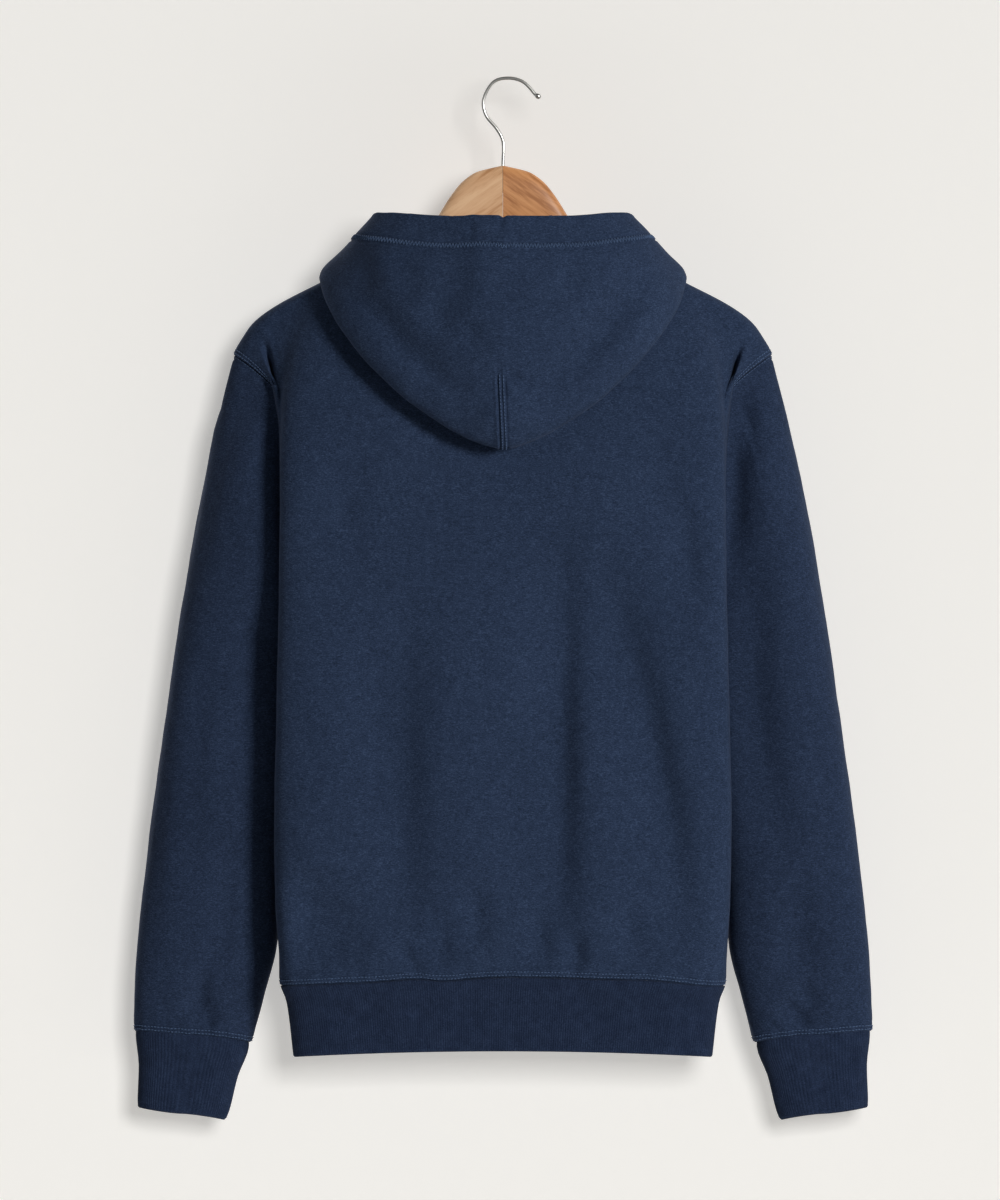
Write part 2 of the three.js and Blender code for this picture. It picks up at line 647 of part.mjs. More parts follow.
// Lifts the faces of the hood that lie on the panels until their middles are clear too
const LIFT_PASSES = 4;
const LIFT_FROM = 3; // the profile's first row past the roll at the neck
const LIFT_TO = 8; // the outer side of the tip
const FACE_SHARES = [0, 0.25, 0.5, 0.75, 1];
const FACE_SAMPLES = FACE_SHARES.flatMap((u) => FACE_SHARES.map((v) => [u, v]));
function liftClear(rows, from, to, keepOff) {
  for (let pass = 0; pass < LIFT_PASSES; pass += 1) {
    for (let j = from; j < to; j += 1) {
      for (let i = 0; i < rows[j].length - 1; i += 1) {
        const corners = [rows[j][i], rows[j][i + 1], rows[j + 1][i + 1], rows[j + 1][i]];
        FACE_SAMPLES.forEach(([u, v]) => {
          const [a, b, c, d] = corners.map((corner) => corner.at);
          const sample = a.clone().lerp(b, u).lerp(d.clone().lerp(c, u), v);
          const move = keepOff.lift(sample, HOOD_CLEAR);
          if (move) corners.forEach((corner) => corner.at.add(move));
        });
      }
    }
  }
}

// Hanger arm: rounded sections along the arm, closed at both ends
function armGeometry(mirror) {
  const rings = ARM_STATIONS.map((x) => {
    const s = armSections(x);
    const top = ridge(x).z - FLEECE - HANGER_PLAY + s.hump;
    const middle = (top + s.bottom) / 2;
    const half = (top - s.bottom) / 2;
    const y = ridge(x).y;
    return Array.from({ length: ARM_SIDES }, (_, i) => {
      const angle = (2 * Math.PI * (i + 0.5)) / ARM_SIDES;
      const [c, n] = [Math.cos(angle), Math.sin(angle)];
      const across = Math.sign(c) * Math.abs(c) ** (2 / ARM_SQUARENESS) * (s.thick / 2);
      const up = Math.sign(n) * Math.abs(n) ** (2 / ARM_SQUARENESS) * half;
      return new THREE.Vector3(mirror * x, y + across, middle + up);
    });
  });
  return loft(rings);
}

// Rings joined one to the next and closed by flat ends
function loft(rings) {
  const sides = rings[0].length;
  const points = rings.flat();
  const triangles = [];
  for (let j = 0; j < rings.length - 1; j += 1) {
    for (let i = 0; i < sides; i += 1) {
      const [a, b] = [j * sides + i, j * sides + ((i + 1) % sides)];
      triangles.push([a, b, b + sides], [a, b + sides, a + sides]);
    }
  }
  const lastRing = (rings.length - 1) * sides;
  for (let i = 1; i < sides - 1; i += 1) {
    triangles.push([0, i + 1, i], [lastRing, lastRing + i, lastRing + i + 1]);
  }
  return closedGeometry(points, triangles);
}

// Hook: a wire of even thickness that ends in a small ball
const WIRE_SIDES = 8;
const WIRE_STEPS = 44;
const BALL = [ // rings of the ball: share of the wire's length and radius
  { share: 0.955, radius: 1.5 },
  { share: 0.965, radius: 2.2 },
  { share: 0.978, radius: 2.4 },
  { share: 0.99, radius: 2 },
  { share: 1, radius: 0.9 },
];
function hookGeometry() {
  const corners = HOOK_LINE.map(([x, z]) => new THREE.Vector3(x, 0, z));
  const line = new THREE.CatmullRomCurve3(corners, false, 'centripetal');
  const stations = Array.from({ length: WIRE_STEPS }, (_, i) => (
    { share: (i / WIRE_STEPS) * BALL[0].share, radius: WIRE_RADIUS }
  ));
  const rings = [...stations, ...BALL].map(({ share, radius }) => {
    const middle = line.getPointAt(share);
    const tangent = line.getTangentAt(share);
    const across = new THREE.Vector3(0, 1, 0);
    const up = new THREE.Vector3().crossVectors(tangent, across).normalize();
    return Array.from({ length: WIRE_SIDES }, (_, i) => {
      const angle = (2 * Math.PI * (i + 0.5)) / WIRE_SIDES;
      const sideways = across.clone().multiplyScalar(radius * Math.cos(angle));
      return middle.clone().add(sideways).addScaledVector(up, radius * Math.sin(angle));
    });
  });
  return loft(rings);
}

// Both arms are bored for the shank of the hook where they meet
const wasm = await Module();
wasm.setup();
function toSolid(geometry) {
  const position = geometry.getAttribute('position');
  return new wasm.Manifold(new wasm.Mesh({
    numProp: 3,
    vertProperties: new Float32Array(position.array),
    triVerts: new Uint32Array(geometry.index.array),
  }));
}

function bored(geometry) {
  const depth = HOOK_LINE[0][1] - HOOK_BORE_PLAY;
  const radius = WIRE_RADIUS + HOOK_BORE_PLAY;
  const ring = (z) => Array.from({ length: WIRE_SIDES }, (_, i) => {
    const angle = (2 * Math.PI * (i + 0.5)) / WIRE_SIDES;
    return new THREE.Vector3(radius * Math.cos(angle), radius * Math.sin(angle), z);
  });
  const mesh = toSolid(geometry).subtract(toSolid(loft([ring(depth), ring(0)]))).getMesh();
  const result = new THREE.BufferGeometry();
  result.setAttribute('position', new THREE.Float32BufferAttribute(mesh.vertProperties, 3));
  result.setIndex([...mesh.triVerts]);
  result.computeVertexNormals();
  return result;
}

// Garment: outer faces first, then the directions that pieces share along their seams
const back = panelGrid('back');
const front = panelGrid('front');
setOutward(back, false, 1);
setOutward(front, false, -1);

const lastRow = YOKE_ROWS + BODY_ROWS;
const middle = HALF_COLUMNS;
const sides = [
  { name: 'left', mirror: 1, column: 2 * HALF_COLUMNS, step: 1 },
  { name: 'right', mirror: -1, column: 0, step: -1 },
];

const sleeves = sides.map(({ name, mirror, column }) => {
  const down = back.slice(0, YOKE_ROWS + 1).map((row) => row[column]);
  const up = front.slice(1, YOKE_ROWS).map((row) => row[column]).reverse();
  const loop = [...down, ...up];
  const rows = sleeveGrid(loop, mirror, TROUGHS[`sleeve_${name}`]);
  setOutward(rows, true, -mirror);
  return { name, mirror, rows };
});

const keepOff = surfaceOf([back, front]);
const hoodRows = [];
const hoodHalf = 2 * NECK_COLUMNS * HOOD_PER_NECK;
for (let m = -hoodHalf; m <= hoodHalf; m += 1) {
  const mirror = m < 0 ? -1 : 1;
  const turn = 2 - (2 * Math.abs(m)) / hoodHalf;
  const side = turn > 1 ? back : front;
  const k = NECK_COLUMNS * (turn > 1 ? 2 - turn : turn);
  const low = Math.min(Math.floor(k), NECK_COLUMNS - 1);
  const [start, end] = [low, low + 1].map((n) => side[0][middle + mirror * n].at);
  const seam = start.clone().lerp(end, k - low);
  hoodRows.push({ turn, mirror, k, side, profile: hoodProfile(seam, turn, mirror, keepOff) });
}
const hood = hoodRows[0].profile.map((_, j) => hoodRows.map((column) => column.profile[j]));
liftClear(hood, LIFT_FROM, LIFT_TO, keepOff);
setOutward(hood, false, -1);

// The sleeve's edge shares the panel's direction, except under the arm, where they face each other
function sewOn(edge, panel) {
  edge.away = panel.out.clone();
  if (edge.out.dot(panel.out) > 0) share(edge, panel);
}

// Seams: shoulders, sides, armholes and neckline
for (let j = 0; j <= lastRow; j += 1) {
  sides.forEach(({ column }, n) => {
    const sleeve = sleeves[n].rows[0];
    if (j === 0 || j >= YOKE_ROWS) share(back[j][column], front[j][column]);
    if (j <= YOKE_ROWS) sewOn(sleeve[j], back[j][column]);
    if (j > 0 && j < YOKE_ROWS) sewOn(sleeve[sleeve.length - j], front[j][column]);
    if (j === 0) share(back[j][column], front[j][column], sleeve[j]);
  });
}
sides.forEach(({ step }) => {
  for (let k = NECK_COLUMNS + 1; k < HALF_COLUMNS; k += 1) {
    share(back[0][middle + step * k], front[0][middle + step * k]);
  }
});
hoodRows.forEach(({ k, mirror, side, turn }, i) => {
  if (!Number.isInteger(k)) return;
  const column = middle + mirror * k;
  const partners = turn === 1 ? [back[0][column], front[0][column]] : [side[0][column]];
  share(hood[0][i], ...partners);
});
hoodRows.forEach(({ k }, i) => {
  if (Number.isInteger(k)) return;
  hood[0][i].out.lerpVectors(hood[0][i - 1].out, hood[0][i + 1].out, 0.5);
});

// Gaps: each piece stops short of its seams, and more so where its wall stands at an angle to the next
const half = SEAM_GAP / 2;
const SLEEVE_OFF = 0.3; // away from the panel at the armhole
const SLEEVE_DRAW = 0.6;
const HOOD_DRAW = 0.8;
const columnOf = (rows, column) => rows.map((row) => row[column]);
[back, front].forEach((rows) => {
  drawBack(rows[0], rows[1], half);
  drawBack(columnOf(rows, 0), columnOf(rows, 1), half);
  drawBack(columnOf(rows, 2 * middle), columnOf(rows, 2 * middle - 1), half);
  drawBack(rows[lastRow], rows[lastRow - 1], half);
});
sleeves.forEach(({ rows }) => {
  rows[0].forEach((v) => v.at.addScaledVector(v.away, SLEEVE_OFF));
  drawBack(rows[0], rows[1], SLEEVE_DRAW, true);
  drawBack(rows.at(-1), rows.at(-2), half, true);
});
drawBack(hood[0], hood[1], HOOD_DRAW);

// Hem band and cuffs
const HEM_LEVELS = [0, 1];
const HEM_PLAIN = 84;
const hemOutlines = new Map(HEM_LEVELS.map((level) => [level, hemOutline(level)]));
function hemRing(turn, level) {
  const outline = hemOutlines.get(level);
  const place = turn * HEM_STEPS;
  const i = Math.floor(place) % HEM_STEPS;
  const [a, b] = [outline[i], outline[(i + 1) % HEM_STEPS]];
  const at = a.clone().lerp(b, place - Math.floor(place));
  at.z -= level ? 0 : half;
  const along = outline[(i + 2) % HEM_STEPS].clone().sub(outline[(i + HEM_STEPS - 1) % HEM_STEPS]);
  const out = new THREE.Vector3(along.y, -along.x, 0).normalize();
  if (out.dot(new THREE.Vector3(at.x, at.y, 0)) < 0) out.negate();
  return { at, out };
}

const CUFF_LEVELS = [0, 0.45, 1];
const CUFF_PLAIN = 30;
function cuffRing(mirror) {
  return (turn, level) => {
    const s = cuffSections(level);
    const angle = 2 * Math.PI * turn;
    const inwards = (1 - Math.cos(angle)) / 2;
    const [a, b] = [(s.outX - s.inX) / 2, s.halfDepth];
    const z = lerp(s.outZ, s.inZ, inwards ** CUFF_SEAM_CURVE) - (level ? 0 : half);
    const at = new THREE.Vector3(
      mirror * ((s.outX + s.inX) / 2 + a * Math.cos(angle)),
      CUFF_MID_Y + b * Math.sin(angle),
      z,
    );
    const out = new THREE.Vector3(mirror * b * Math.cos(angle), a * Math.sin(angle), 0).normalize();
    return { at, out };
  };
}

// Colours from the photograph
const navy = new THREE.MeshStandardMaterial({ color: 0x2b374d, roughness: 0.95, metalness: 0 });
const ribNavy = new THREE.MeshStandardMaterial({ color: 0x232e42, roughness: 0.95, metalness: 0 });
const lightWood = new THREE.MeshStandardMaterial({ color: 0xc49b76, roughness: 0.5, metalness: 0 });
const darkWood = new THREE.MeshStandardMaterial({ color: 0xac7d58, roughness: 0.5, metalness: 0 });
const steel = new THREE.MeshStandardMaterial({ color: 0xb9b9b5, roughness: 0.35, metalness: 1 });

const group = new THREE.Group();
function add(name, geometry, material) {
  const mesh = new THREE.Mesh(geometry, material);
  mesh.name = name;
  group.add(mesh);
}

add('body_back', wall(back, false, FLEECE), navy);
add('body_front', wall(front, false, FLEECE), navy);
add('hood', wall(hood, false, FLEECE), navy);
sleeves.forEach(({ name, mirror, rows }) => {
  add(`sleeve_${name}`, wall(rows, true, FLEECE), navy);
  add(`cuff_${name}`, ribWall(cuffRing(mirror), CUFF_RIBS, CUFF_LEVELS, CUFF_PLAIN), ribNavy);
});
add('hem_band', ribWall(hemRing, HEM_RIBS, HEM_LEVELS, HEM_PLAIN), ribNavy);
add('hanger_arm_left', bored(armGeometry(1)), lightWood);
add('hanger_arm_right', bored(armGeometry(-1)), darkWood);
add('hanger_hook', hookGeometry(), steel);

export default group;
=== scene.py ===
# Pullover hoodie with its hood hanging down the back, on a wooden hanger in front of a pale wall.
# The garment is drawn in millimetres, as on a cutting sheet, and MM turns them into metres.
# The front faces -Y, the wearer's left side is +X and the hook's inside top is the origin.

import math
from types import SimpleNamespace

import bmesh
import bpy
import numpy as np
from mathutils import Matrix, Vector, noise
from mathutils.bvhtree import BVHTree


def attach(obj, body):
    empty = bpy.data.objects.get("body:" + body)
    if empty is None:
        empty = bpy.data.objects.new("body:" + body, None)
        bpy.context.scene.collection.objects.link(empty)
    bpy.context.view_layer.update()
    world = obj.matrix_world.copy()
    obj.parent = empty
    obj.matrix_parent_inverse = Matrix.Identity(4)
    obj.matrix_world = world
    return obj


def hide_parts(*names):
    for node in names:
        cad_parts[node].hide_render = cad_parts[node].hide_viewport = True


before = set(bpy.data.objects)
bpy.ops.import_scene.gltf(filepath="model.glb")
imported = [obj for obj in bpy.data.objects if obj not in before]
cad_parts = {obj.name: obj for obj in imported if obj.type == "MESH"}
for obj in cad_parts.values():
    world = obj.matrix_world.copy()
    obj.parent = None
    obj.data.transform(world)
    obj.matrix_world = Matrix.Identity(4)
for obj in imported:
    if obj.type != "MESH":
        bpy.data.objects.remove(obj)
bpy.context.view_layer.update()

MM = 0.001

# Driving dimensions
FLEECE = 2.0  # wall of the fleece pieces
RIB_KNIT = 3.0  # wall of the doubled rib pieces
NECK_HALF = 82
SHOULDER_TIP = 230
FOLD_TOP = 200  # where the side fold of the back starts on the shoulder
NECK_Z = {"back": -158, "front": -222}
ARMPIT_Z = -380
HEM_SEAM_Z = -763.3
HEM_SEAM_DROP = 7
HEM_BOTTOM_Z = -826
HEM_BOTTOM_DROP = 5.5
HEM_LOWEST = -834
BODY_HALF = 190
HEM_RIBS = 420
CUFF_RIBS = 90
RIB_RELIEF = 0.7
HANGER_END = 205
HANGER_SWEEP = 20
HANGER_PLAY = 0.7
WIRE_RADIUS = 1.5
WOOD_GAP = 0.3

# Columns of the panels, counted from the centre to the side seam
NECK_COLUMNS = 5
SHOULDER_START = 11
HALF_COLUMNS = 15
YOKE_SHARES = [0, 0.012, 0.035, 0.08, 0.15, 0.24, 0.35, 0.48, 0.63, 0.81, 1]
YOKE_ROWS = len(YOKE_SHARES) - 1


def lerp(start, end, share):
    return start + (end - start) * share


def smooth_curve(keys, values):
    """A smooth curve through values at rising keys, with no overshoot between them."""
    keys = np.asarray(keys, float)
    values = np.asarray(values, float)
    spans = np.diff(keys)
    slopes = np.diff(values) / spans
    product = slopes[:-1] * slopes[1:]
    total = np.where(product > 0, slopes[:-1] + slopes[1:], 1)
    tangents = np.concatenate(([slopes[0]], np.where(product > 0, 2 * product / total, 0), [slopes[-1]]))

    def read(key):
        x = np.clip(key, keys[0], keys[-1])
        i = np.clip(np.searchsorted(keys, x, side="right") - 1, 0, len(spans) - 1)
        s = (x - keys[i]) / spans[i]
        start = tangents[i] * spans[i]
        end = tangents[i + 1] * spans[i]
        rise = values[i + 1] - values[i]
        return values[i] + s * (start + s * (3 * rise - 2 * start - end + s * (start + end - 2 * rise)))

    return read


def table(names, rows):
    """A short table with named columns, read as smooth curves of its first column."""
    columns = np.array(sorted(rows), float).T
    curves = {name: smooth_curve(columns[0], columns[i]) for i, name in enumerate(names) if i}
    return lambda key: SimpleNamespace(**{name: curve(key) for name, curve in curves.items()})


# Shape tables, the same as the pattern of the solids
shoulder_line = table(
    ("x", "z"),
    [(0, -125), (40, -128), (82, -137), (120, -154.5), (160, -174.7), (186.6, -188.3), (198.5, -195.5),
     (208, -202.5), (214.6, -209), (222.7, -221), (230, -233)],
)
body_sections = table(
    ("z", "fold_x", "fold_y", "seam_x", "seam_y", "back_y", "front_y"),
    [
        (-380, 189.5, 18, 160, -26, 50, -98),
        (-468, 191, 18, 160, -26, 50, -98),
        (-553, 193, 14, 166, -25, 48, -94),
        (-638, 194.5, 6, 177, -20, 45, -86),
        (-700, 193.5, 0, 187, -14, 42, -78),
        (-742, 190.5, -2, 187.4, -11, 40.5, -73.5),
        (-768, 189.5, -3, 187.5, -9, 39, -70),
        (-784, 184, -3, 182.2, -9, 37, -66),
        (-832, 178, -3, 176.3, -9, 34, -60),
    ],
)
sleeve_sections = table(
    ("z", "out_x", "in_x", "mid_y", "half_depth"),
    [
        (-430, 270.5, 166, -43, 46),
        (-480, 278.5, 167, -43, 46),
        (-530, 285.5, 169, -42, 44),
        (-580, 292.5, 175, -41, 42),
        (-630, 299.5, 182, -41, 39),
        (-680, 305.3, 188, -40, 35),
        (-730, 310.7, 192, -39, 30),
        (-770, 313.4, 202.5, -38, 26),
        (-809, 314.5, 213.5, -38, 23),
    ],
)
cuff_sections = table(
    ("share", "out_x", "in_x", "out_z", "in_z", "half_depth"),
    [
        (0, 312, 216.2, -807.4, -817.4, 21.6),
        (0.06, 312.6, 216, -811, -821, 22),
        (0.45, 310, 225.5, -839, -848, 19.5),
        (0.92, 311, 233.5, -870, -879.5, 18),
        (1, 310.5, 236, -874.5, -884.8, 17),
    ],
)
# The seam of the hem, seen from behind, is drawn up here and there
hem_seam = table(
    ("x", "z"),
    [(-172, -770.5), (-141, -767.1), (-121, -765.4), (-83, -764.8), (-50, -763.7), (-9, -762.9), (17, -763.7),
     (52, -766.3), (73, -764.6), (108, -767.1), (139, -768.4), (175, -769.8), (190, -770.4)],
)
hood_tip = table(
    ("turn", "x", "y", "z"),
    [(0, 0.6, -72, -230), (0.25, 42, -70, -222), (0.5, 84, -58, -208), (0.75, 124, -38, -190), (1, 156, -11, -169.2)],
)
hood_rim = table(
    ("turn", "x", "y", "z", "roll", "bulge"),
    [
        (0, 0.6, -76, -206, 3, 0),
        (0.25, 34, -72, -190, 3.5, 1),
        (0.5, 68, -56, -163, 4, 1),
        (0.75, 96, -26, -134, 4, 0),
        (0.9, 108.5, -2, -122.5, 3.8, 0),
        (1, 112, 16, -117.2, 4.5, 0),
        (1.1, 109, 29, -114.4, 7, 3),
        (1.25, 98, 44, -114, 13, 6),
        (1.5, 72, 60, -116.6, 18.5, 8),
        (1.75, 36, 69, -118.2, 21, 9),
        (2, 0, 72, -119, 22, 9.5),
    ],
)
arm_sections = table(
    ("x", "hump", "bottom", "thick"),
    [
        (0, 55, -128, 14),
        (21.7, 51, -130, 14),
        (34, 43.9, -134, 14),
        (44, 33.1, -140, 14),
        (55, 17.5, -148, 14),
        (63, 6, -154, 13.6),
        (72, -0.5, -161, 12.4),
        (100, -0.6, -176, 12),
        (150, -0.6, -198, 11.6),
        (186, -1, -212, 10.8),
        (200, -2.2, -216, 9.6),
        (205, -5.5, -215, 6),
    ],
)
HOOK_LINE = [
    (0, -96), (0, -73), (0, -52), (5, -42), (14.4, -30), (16.5, -17.5), (7.5, -1.5),
    (-5.4, WIRE_RADIUS), (-16.5, -1.3), (-23, -7), (-27.5, -12.3), (-32.4, -15.3),
]

# Creases of each piece: two ends seen from behind, drawn downwards, how far the
# middle bows to +X, the half widths to +X and to -X, and the depth; a negative depth is a ridge
CREASE_COLUMNS = ("x1", "z1", "x2", "z2", "bow", "left", "right", "depth")
CREASES = {
    "back": [
        (-47, -365, -45, -757, -3, 30, 14, 13),
        (-76, -400, -151, -757, -17, 34, 15, 12.5),
        (82, -430, 79, -752, 5, 32, 18, 9.5),
        (162, -670, 166, -766, 0, 16, 26, 11),
        (130, -700, 142, -756, 0, 18, 12, 5),
        (88, -738, 70, -762, 0, 4, 4, 4.5),
        (26, -680, 20, -747, 0, 14, 11, 5),
        (-30, -700, -37, -757, 2, 12, 8, 5),
        (-62, -722, -61, -762, 0, 8, 8, 6.5),
        (-106, -700, -114, -757, 0, 13, 10, 4.5),
        (-152, -360, -167, -452, 3, 14, 11, 6.5),
        (118, -290, 136, -420, 5, 22, 14, 2.4),
        (-126, -290, -144, -380, -4, 18, 12, 3),
        (112, -470, 104, -640, -3, 22, 16, 4),
        (-2, -540, -6, -700, -3, 22, 16, 4),
        (48, -700, 54, -758, 0, 12, 10, 4.5),
        (116, -706, 122, -760, 0, 12, 10, 3),
    ],
    "front": [
        (62, -330, 70, -700, 4, 20, 12, 5),
        (-48, -360, -64, -740, -3, 14, 20, 5),
        (-120, -420, -110, -650, 3, 18, 12, 4),
        (116, -480, 128, -742, 2, 18, 10, 3.6),
        (4, -420, 8, -735, 3, 24, 14, 2.6),
        (140, -260, 158, -360, -3, 14, 10, 3),
        (-138, -270, -156, -365, 3, 10, 14, 2.8),
        (96, -700, 92, -756, 0, 9, 6, 1.8),
        (-84, -715, -90, -757, 1, 8, 6, 1.7),
        (34, -712, 30, -757, 0, 8, 5, 1.4),
        (-20, -705, -16, -757, 0, 9, 6, 1.3),
        (-150, -690, -154, -755, 0, 10, 7, 2),
    ],
    "sleeve_left_back": [
        (200, -280, 198, -470, 0, 30, 14, -12),
        (248, -450, 264, -690, 4, 14, 10, 2.4),
        (270, -778, 242, -802, 2, 8, 8, 6.5),
        (260, -760, 252, -788, 0, 8, 8, 5),
        (236, -300, 258, -420, 3, 12, 8, 2),
        (284, -560, 298, -740, 3, 9, 7, 1.5),
        (232, -640, 244, -770, -3, 12, 8, 2),
        (298, -776, 280, -800, 0, 7, 5, 1.4),
    ],
    "sleeve_right_back": [
        (-214, -380, -235, -670, 11, 26, 18, 10),
        (-197, -232, -188, -450, -3, 7, 15, 9),
        (-204, -262, -220, -318, 0, 10, 6, 5),
        (-236, -784, -262, -805, 0, 7, 7, 6.5),
        (-250, -766, -266, -790, 0, 8, 7, 5),
        (-262, -540, -284, -730, -3, 14, 9, 2.2),
        (-250, -670, -262, -775, 2, 16, 12, 4.4),
        (-300, -776, -284, -800, 0, 7, 6, 1.3),
    ],
    "sleeve_left_front": [
        (240, -420, 256, -640, -4, 14, 10, 3),
        (270, -600, 286, -770, 3, 11, 8, 2.2),
        (236, -720, 258, -796, 2, 9, 7, 2),
    ],
    "sleeve_right_front": [
        (-236, -440, -262, -660, 4, 14, 10, 3),
        (-270, -620, -284, -780, -3, 10, 8, 2.2),
        (-240, -730, -250, -798, 2, 9, 7, 2),
    ],
    "hood": [
        (17, -80, 12, -250, 0, 20, 38, -8.5),
        (150, -152, 16, -290, 7, 14, 17, 10),
        (128, -134, 112, -178, 2, 12, 13, 4),
        (-138, -148, -26, -286, -2, 17, 15, 10),
        (60, -186, 44, -222, 2, 14, 14, 3.5),
        (34, -206, 16, -236, 0, 12, 12, 3),
        (-6, -150, 2, -205, 2, 16, 14, 3),
        (-3, -248.5, -27, -261, 2, 3.2, 3.2, 4),
        (86, -146, 74, -184, 2, 12, 10, 3.5),
        (-52, -150, -60, -190, 2, 12, 12, 3),
        (27, -119, 26, -139, 0, 5, 3.5, 1.2),
        (2, -117, 1, -136, 0, 3, 2.4, 1.3),
        (-6, -121, -13, -137, 0, 3.6, 3, 0.9),
        (-40, -119, -44, -138, 0, 7, 5, 0.8),
        (78, -115, 70, -136, 0, 7, 5, 0.9),
    ],
    "hem": [
        (148, -804, 98, -786, 2, 9, 9, 2.6),
        (-56, -774, -96, -796, 2, 8, 8, 2.6),
        (-152, -782, -176, -798, 0, 7, 7, 2.4),
        (30, -776, 22, -812, 0, 12, 10, 1.2),
        (-120, -780, -126, -815, 0, 10, 9, 1.3),
        (72, -778, 66, -806, 0, 9, 8, 1.2),
    ],
    "left_cuff": [
        (296, -836, 262, -858, 0, 9, 9, 2.4),
        (262, -826, 250, -846, 0, 8, 7, 1.8),
    ],
    "right_cuff": [
        (-256, -832, -286, -852, 0, 9, 9, 2.4),
        (-292, -822, -300, -846, 0, 8, 7, 1.6),
    ],
}

# Outlines of the body and the panels
OUTLINE_STEPS = 240
SQUARENESS = {"back": 5, "front": 2.7}
FOLD_ROUND = 14
FOLD_LEAN = (0.35, 0.25)
NECK_SHARE = 0.5
NECK_ROUND = 0.75
NECK_CURVE = {"back": 2.2, "front": 2.4}
SHOULDER_ROUND = {"back": 2.2, "front": 1.4}
FACING = {"back": 1, "front": -1}
RIDGE_HALF = 10
RIDGE_FALL = 7
ARMHOLE_BOW = 30
ARMHOLE_SWEEP = 3.2
ARMHOLE_SKEW = 1.3


def quarter_outline(end_y, side_x, side_y, squareness):
    angle = np.linspace(0, math.pi / 2, OUTLINE_STEPS + 1)
    across = np.sin(angle) ** (2 / squareness)
    along = np.abs(np.cos(angle)) ** (2 / squareness)
    return np.stack((side_x * across, side_y + (end_y - side_y) * along), axis=1)


def half_section(z):
    """The outline of half the body at one height: its back, its side fold and its front."""
    s = body_sections(z)
    edge = np.array((s.fold_x, s.fold_y))
    seam = np.array((s.seam_x, s.seam_y))
    turn = min(FOLD_ROUND, np.linalg.norm(edge - seam) / 2)
    bends = (
        edge,
        np.array((s.fold_x, s.fold_y - turn)),
        np.array((lerp(s.seam_x, s.fold_x, FOLD_LEAN[0]), lerp(s.seam_y, s.fold_y, FOLD_LEAN[1]))),
        seam,
    )
    share = np.linspace(0, 1, OUTLINE_STEPS + 1)[:, None]
    weights = ((1 - share) ** 3, 3 * share * (1 - share) ** 2, 3 * share**2 * (1 - share), share**3)
    return {
        "back": quarter_outline(s.back_y, s.fold_x, s.fold_y, SQUARENESS["back"]),
        "fold": sum(weight * bend for weight, bend in zip(weights, bends)),
        "front": quarter_outline(s.front_y, s.seam_x, s.seam_y, SQUARENESS["front"]),
    }


def lengths_along(path):
    """How far each point of a path, or of many side by side, lies from its start."""
    steps = np.linalg.norm(np.diff(path, axis=0), axis=-1)
    return np.concatenate((np.zeros_like(steps[:1]), np.cumsum(steps, axis=0)))


def read_at(place, keys, values):
    """Points or directions read at a place between their keys."""
    return np.array([np.interp(place, keys, values[:, axis]) for axis in range(values.shape[1])])


def point_along(path, shares):
    lengths = lengths_along(path)
    wanted = np.asarray(shares) * lengths[-1]
    return np.stack([np.interp(wanted, lengths, path[:, i]) for i in range(path.shape[1])], axis=-1)


def column_points(side, section, k):
    """Where the columns k of a panel lie on a half section."""
    if side == "front":
        return point_along(section["front"], k / HALF_COLUMNS)
    past_neck = (k - NECK_COLUMNS) / (SHOULDER_START - NECK_COLUMNS)
    on_shoulder = lerp(NECK_SHARE, 1, np.sin(math.pi / 2 * np.clip(past_neck, 0, 1)))
    on_back = np.where(k <= NECK_COLUMNS, NECK_SHARE * k / NECK_COLUMNS, on_shoulder)
    past_fold = np.clip((k - SHOULDER_START) / (HALF_COLUMNS - SHOULDER_START), 0, 1)
    back = point_along(section["back"], on_back)
    fold = point_along(section["fold"], 1 - np.cos(math.pi / 2 * past_fold))
    return np.where((k <= SHOULDER_START)[:, None], back, fold)


def ridge(x):
    """The ridge of the shoulders follows the hanger's bend to the front."""
    return -HANGER_SWEEP * (x / HANGER_END) ** 2, shoulder_line(np.abs(x)).z


def column_top(side, k):
    """Where the columns k start: on the neckline or on the shoulder seam."""
    share = np.sin(math.pi / 2 * np.clip(k / NECK_COLUMNS, 0, 1)) ** NECK_ROUND
    neck_z = lerp(NECK_Z[side], ridge(NECK_HALF)[1], share ** NECK_CURVE[side])
    shoulder = lerp(NECK_HALF, FOLD_TOP, (k - NECK_COLUMNS) / (SHOULDER_START - NECK_COLUMNS))
    armhole = lerp(FOLD_TOP, SHOULDER_TIP, (k - SHOULDER_START) / (HALF_COLUMNS - SHOULDER_START))
    x = np.where(k <= NECK_COLUMNS, NECK_HALF * share, np.where(k <= SHOULDER_START, shoulder, armhole))
    return x, np.where(k <= NECK_COLUMNS, neck_z, ridge(x)[1])


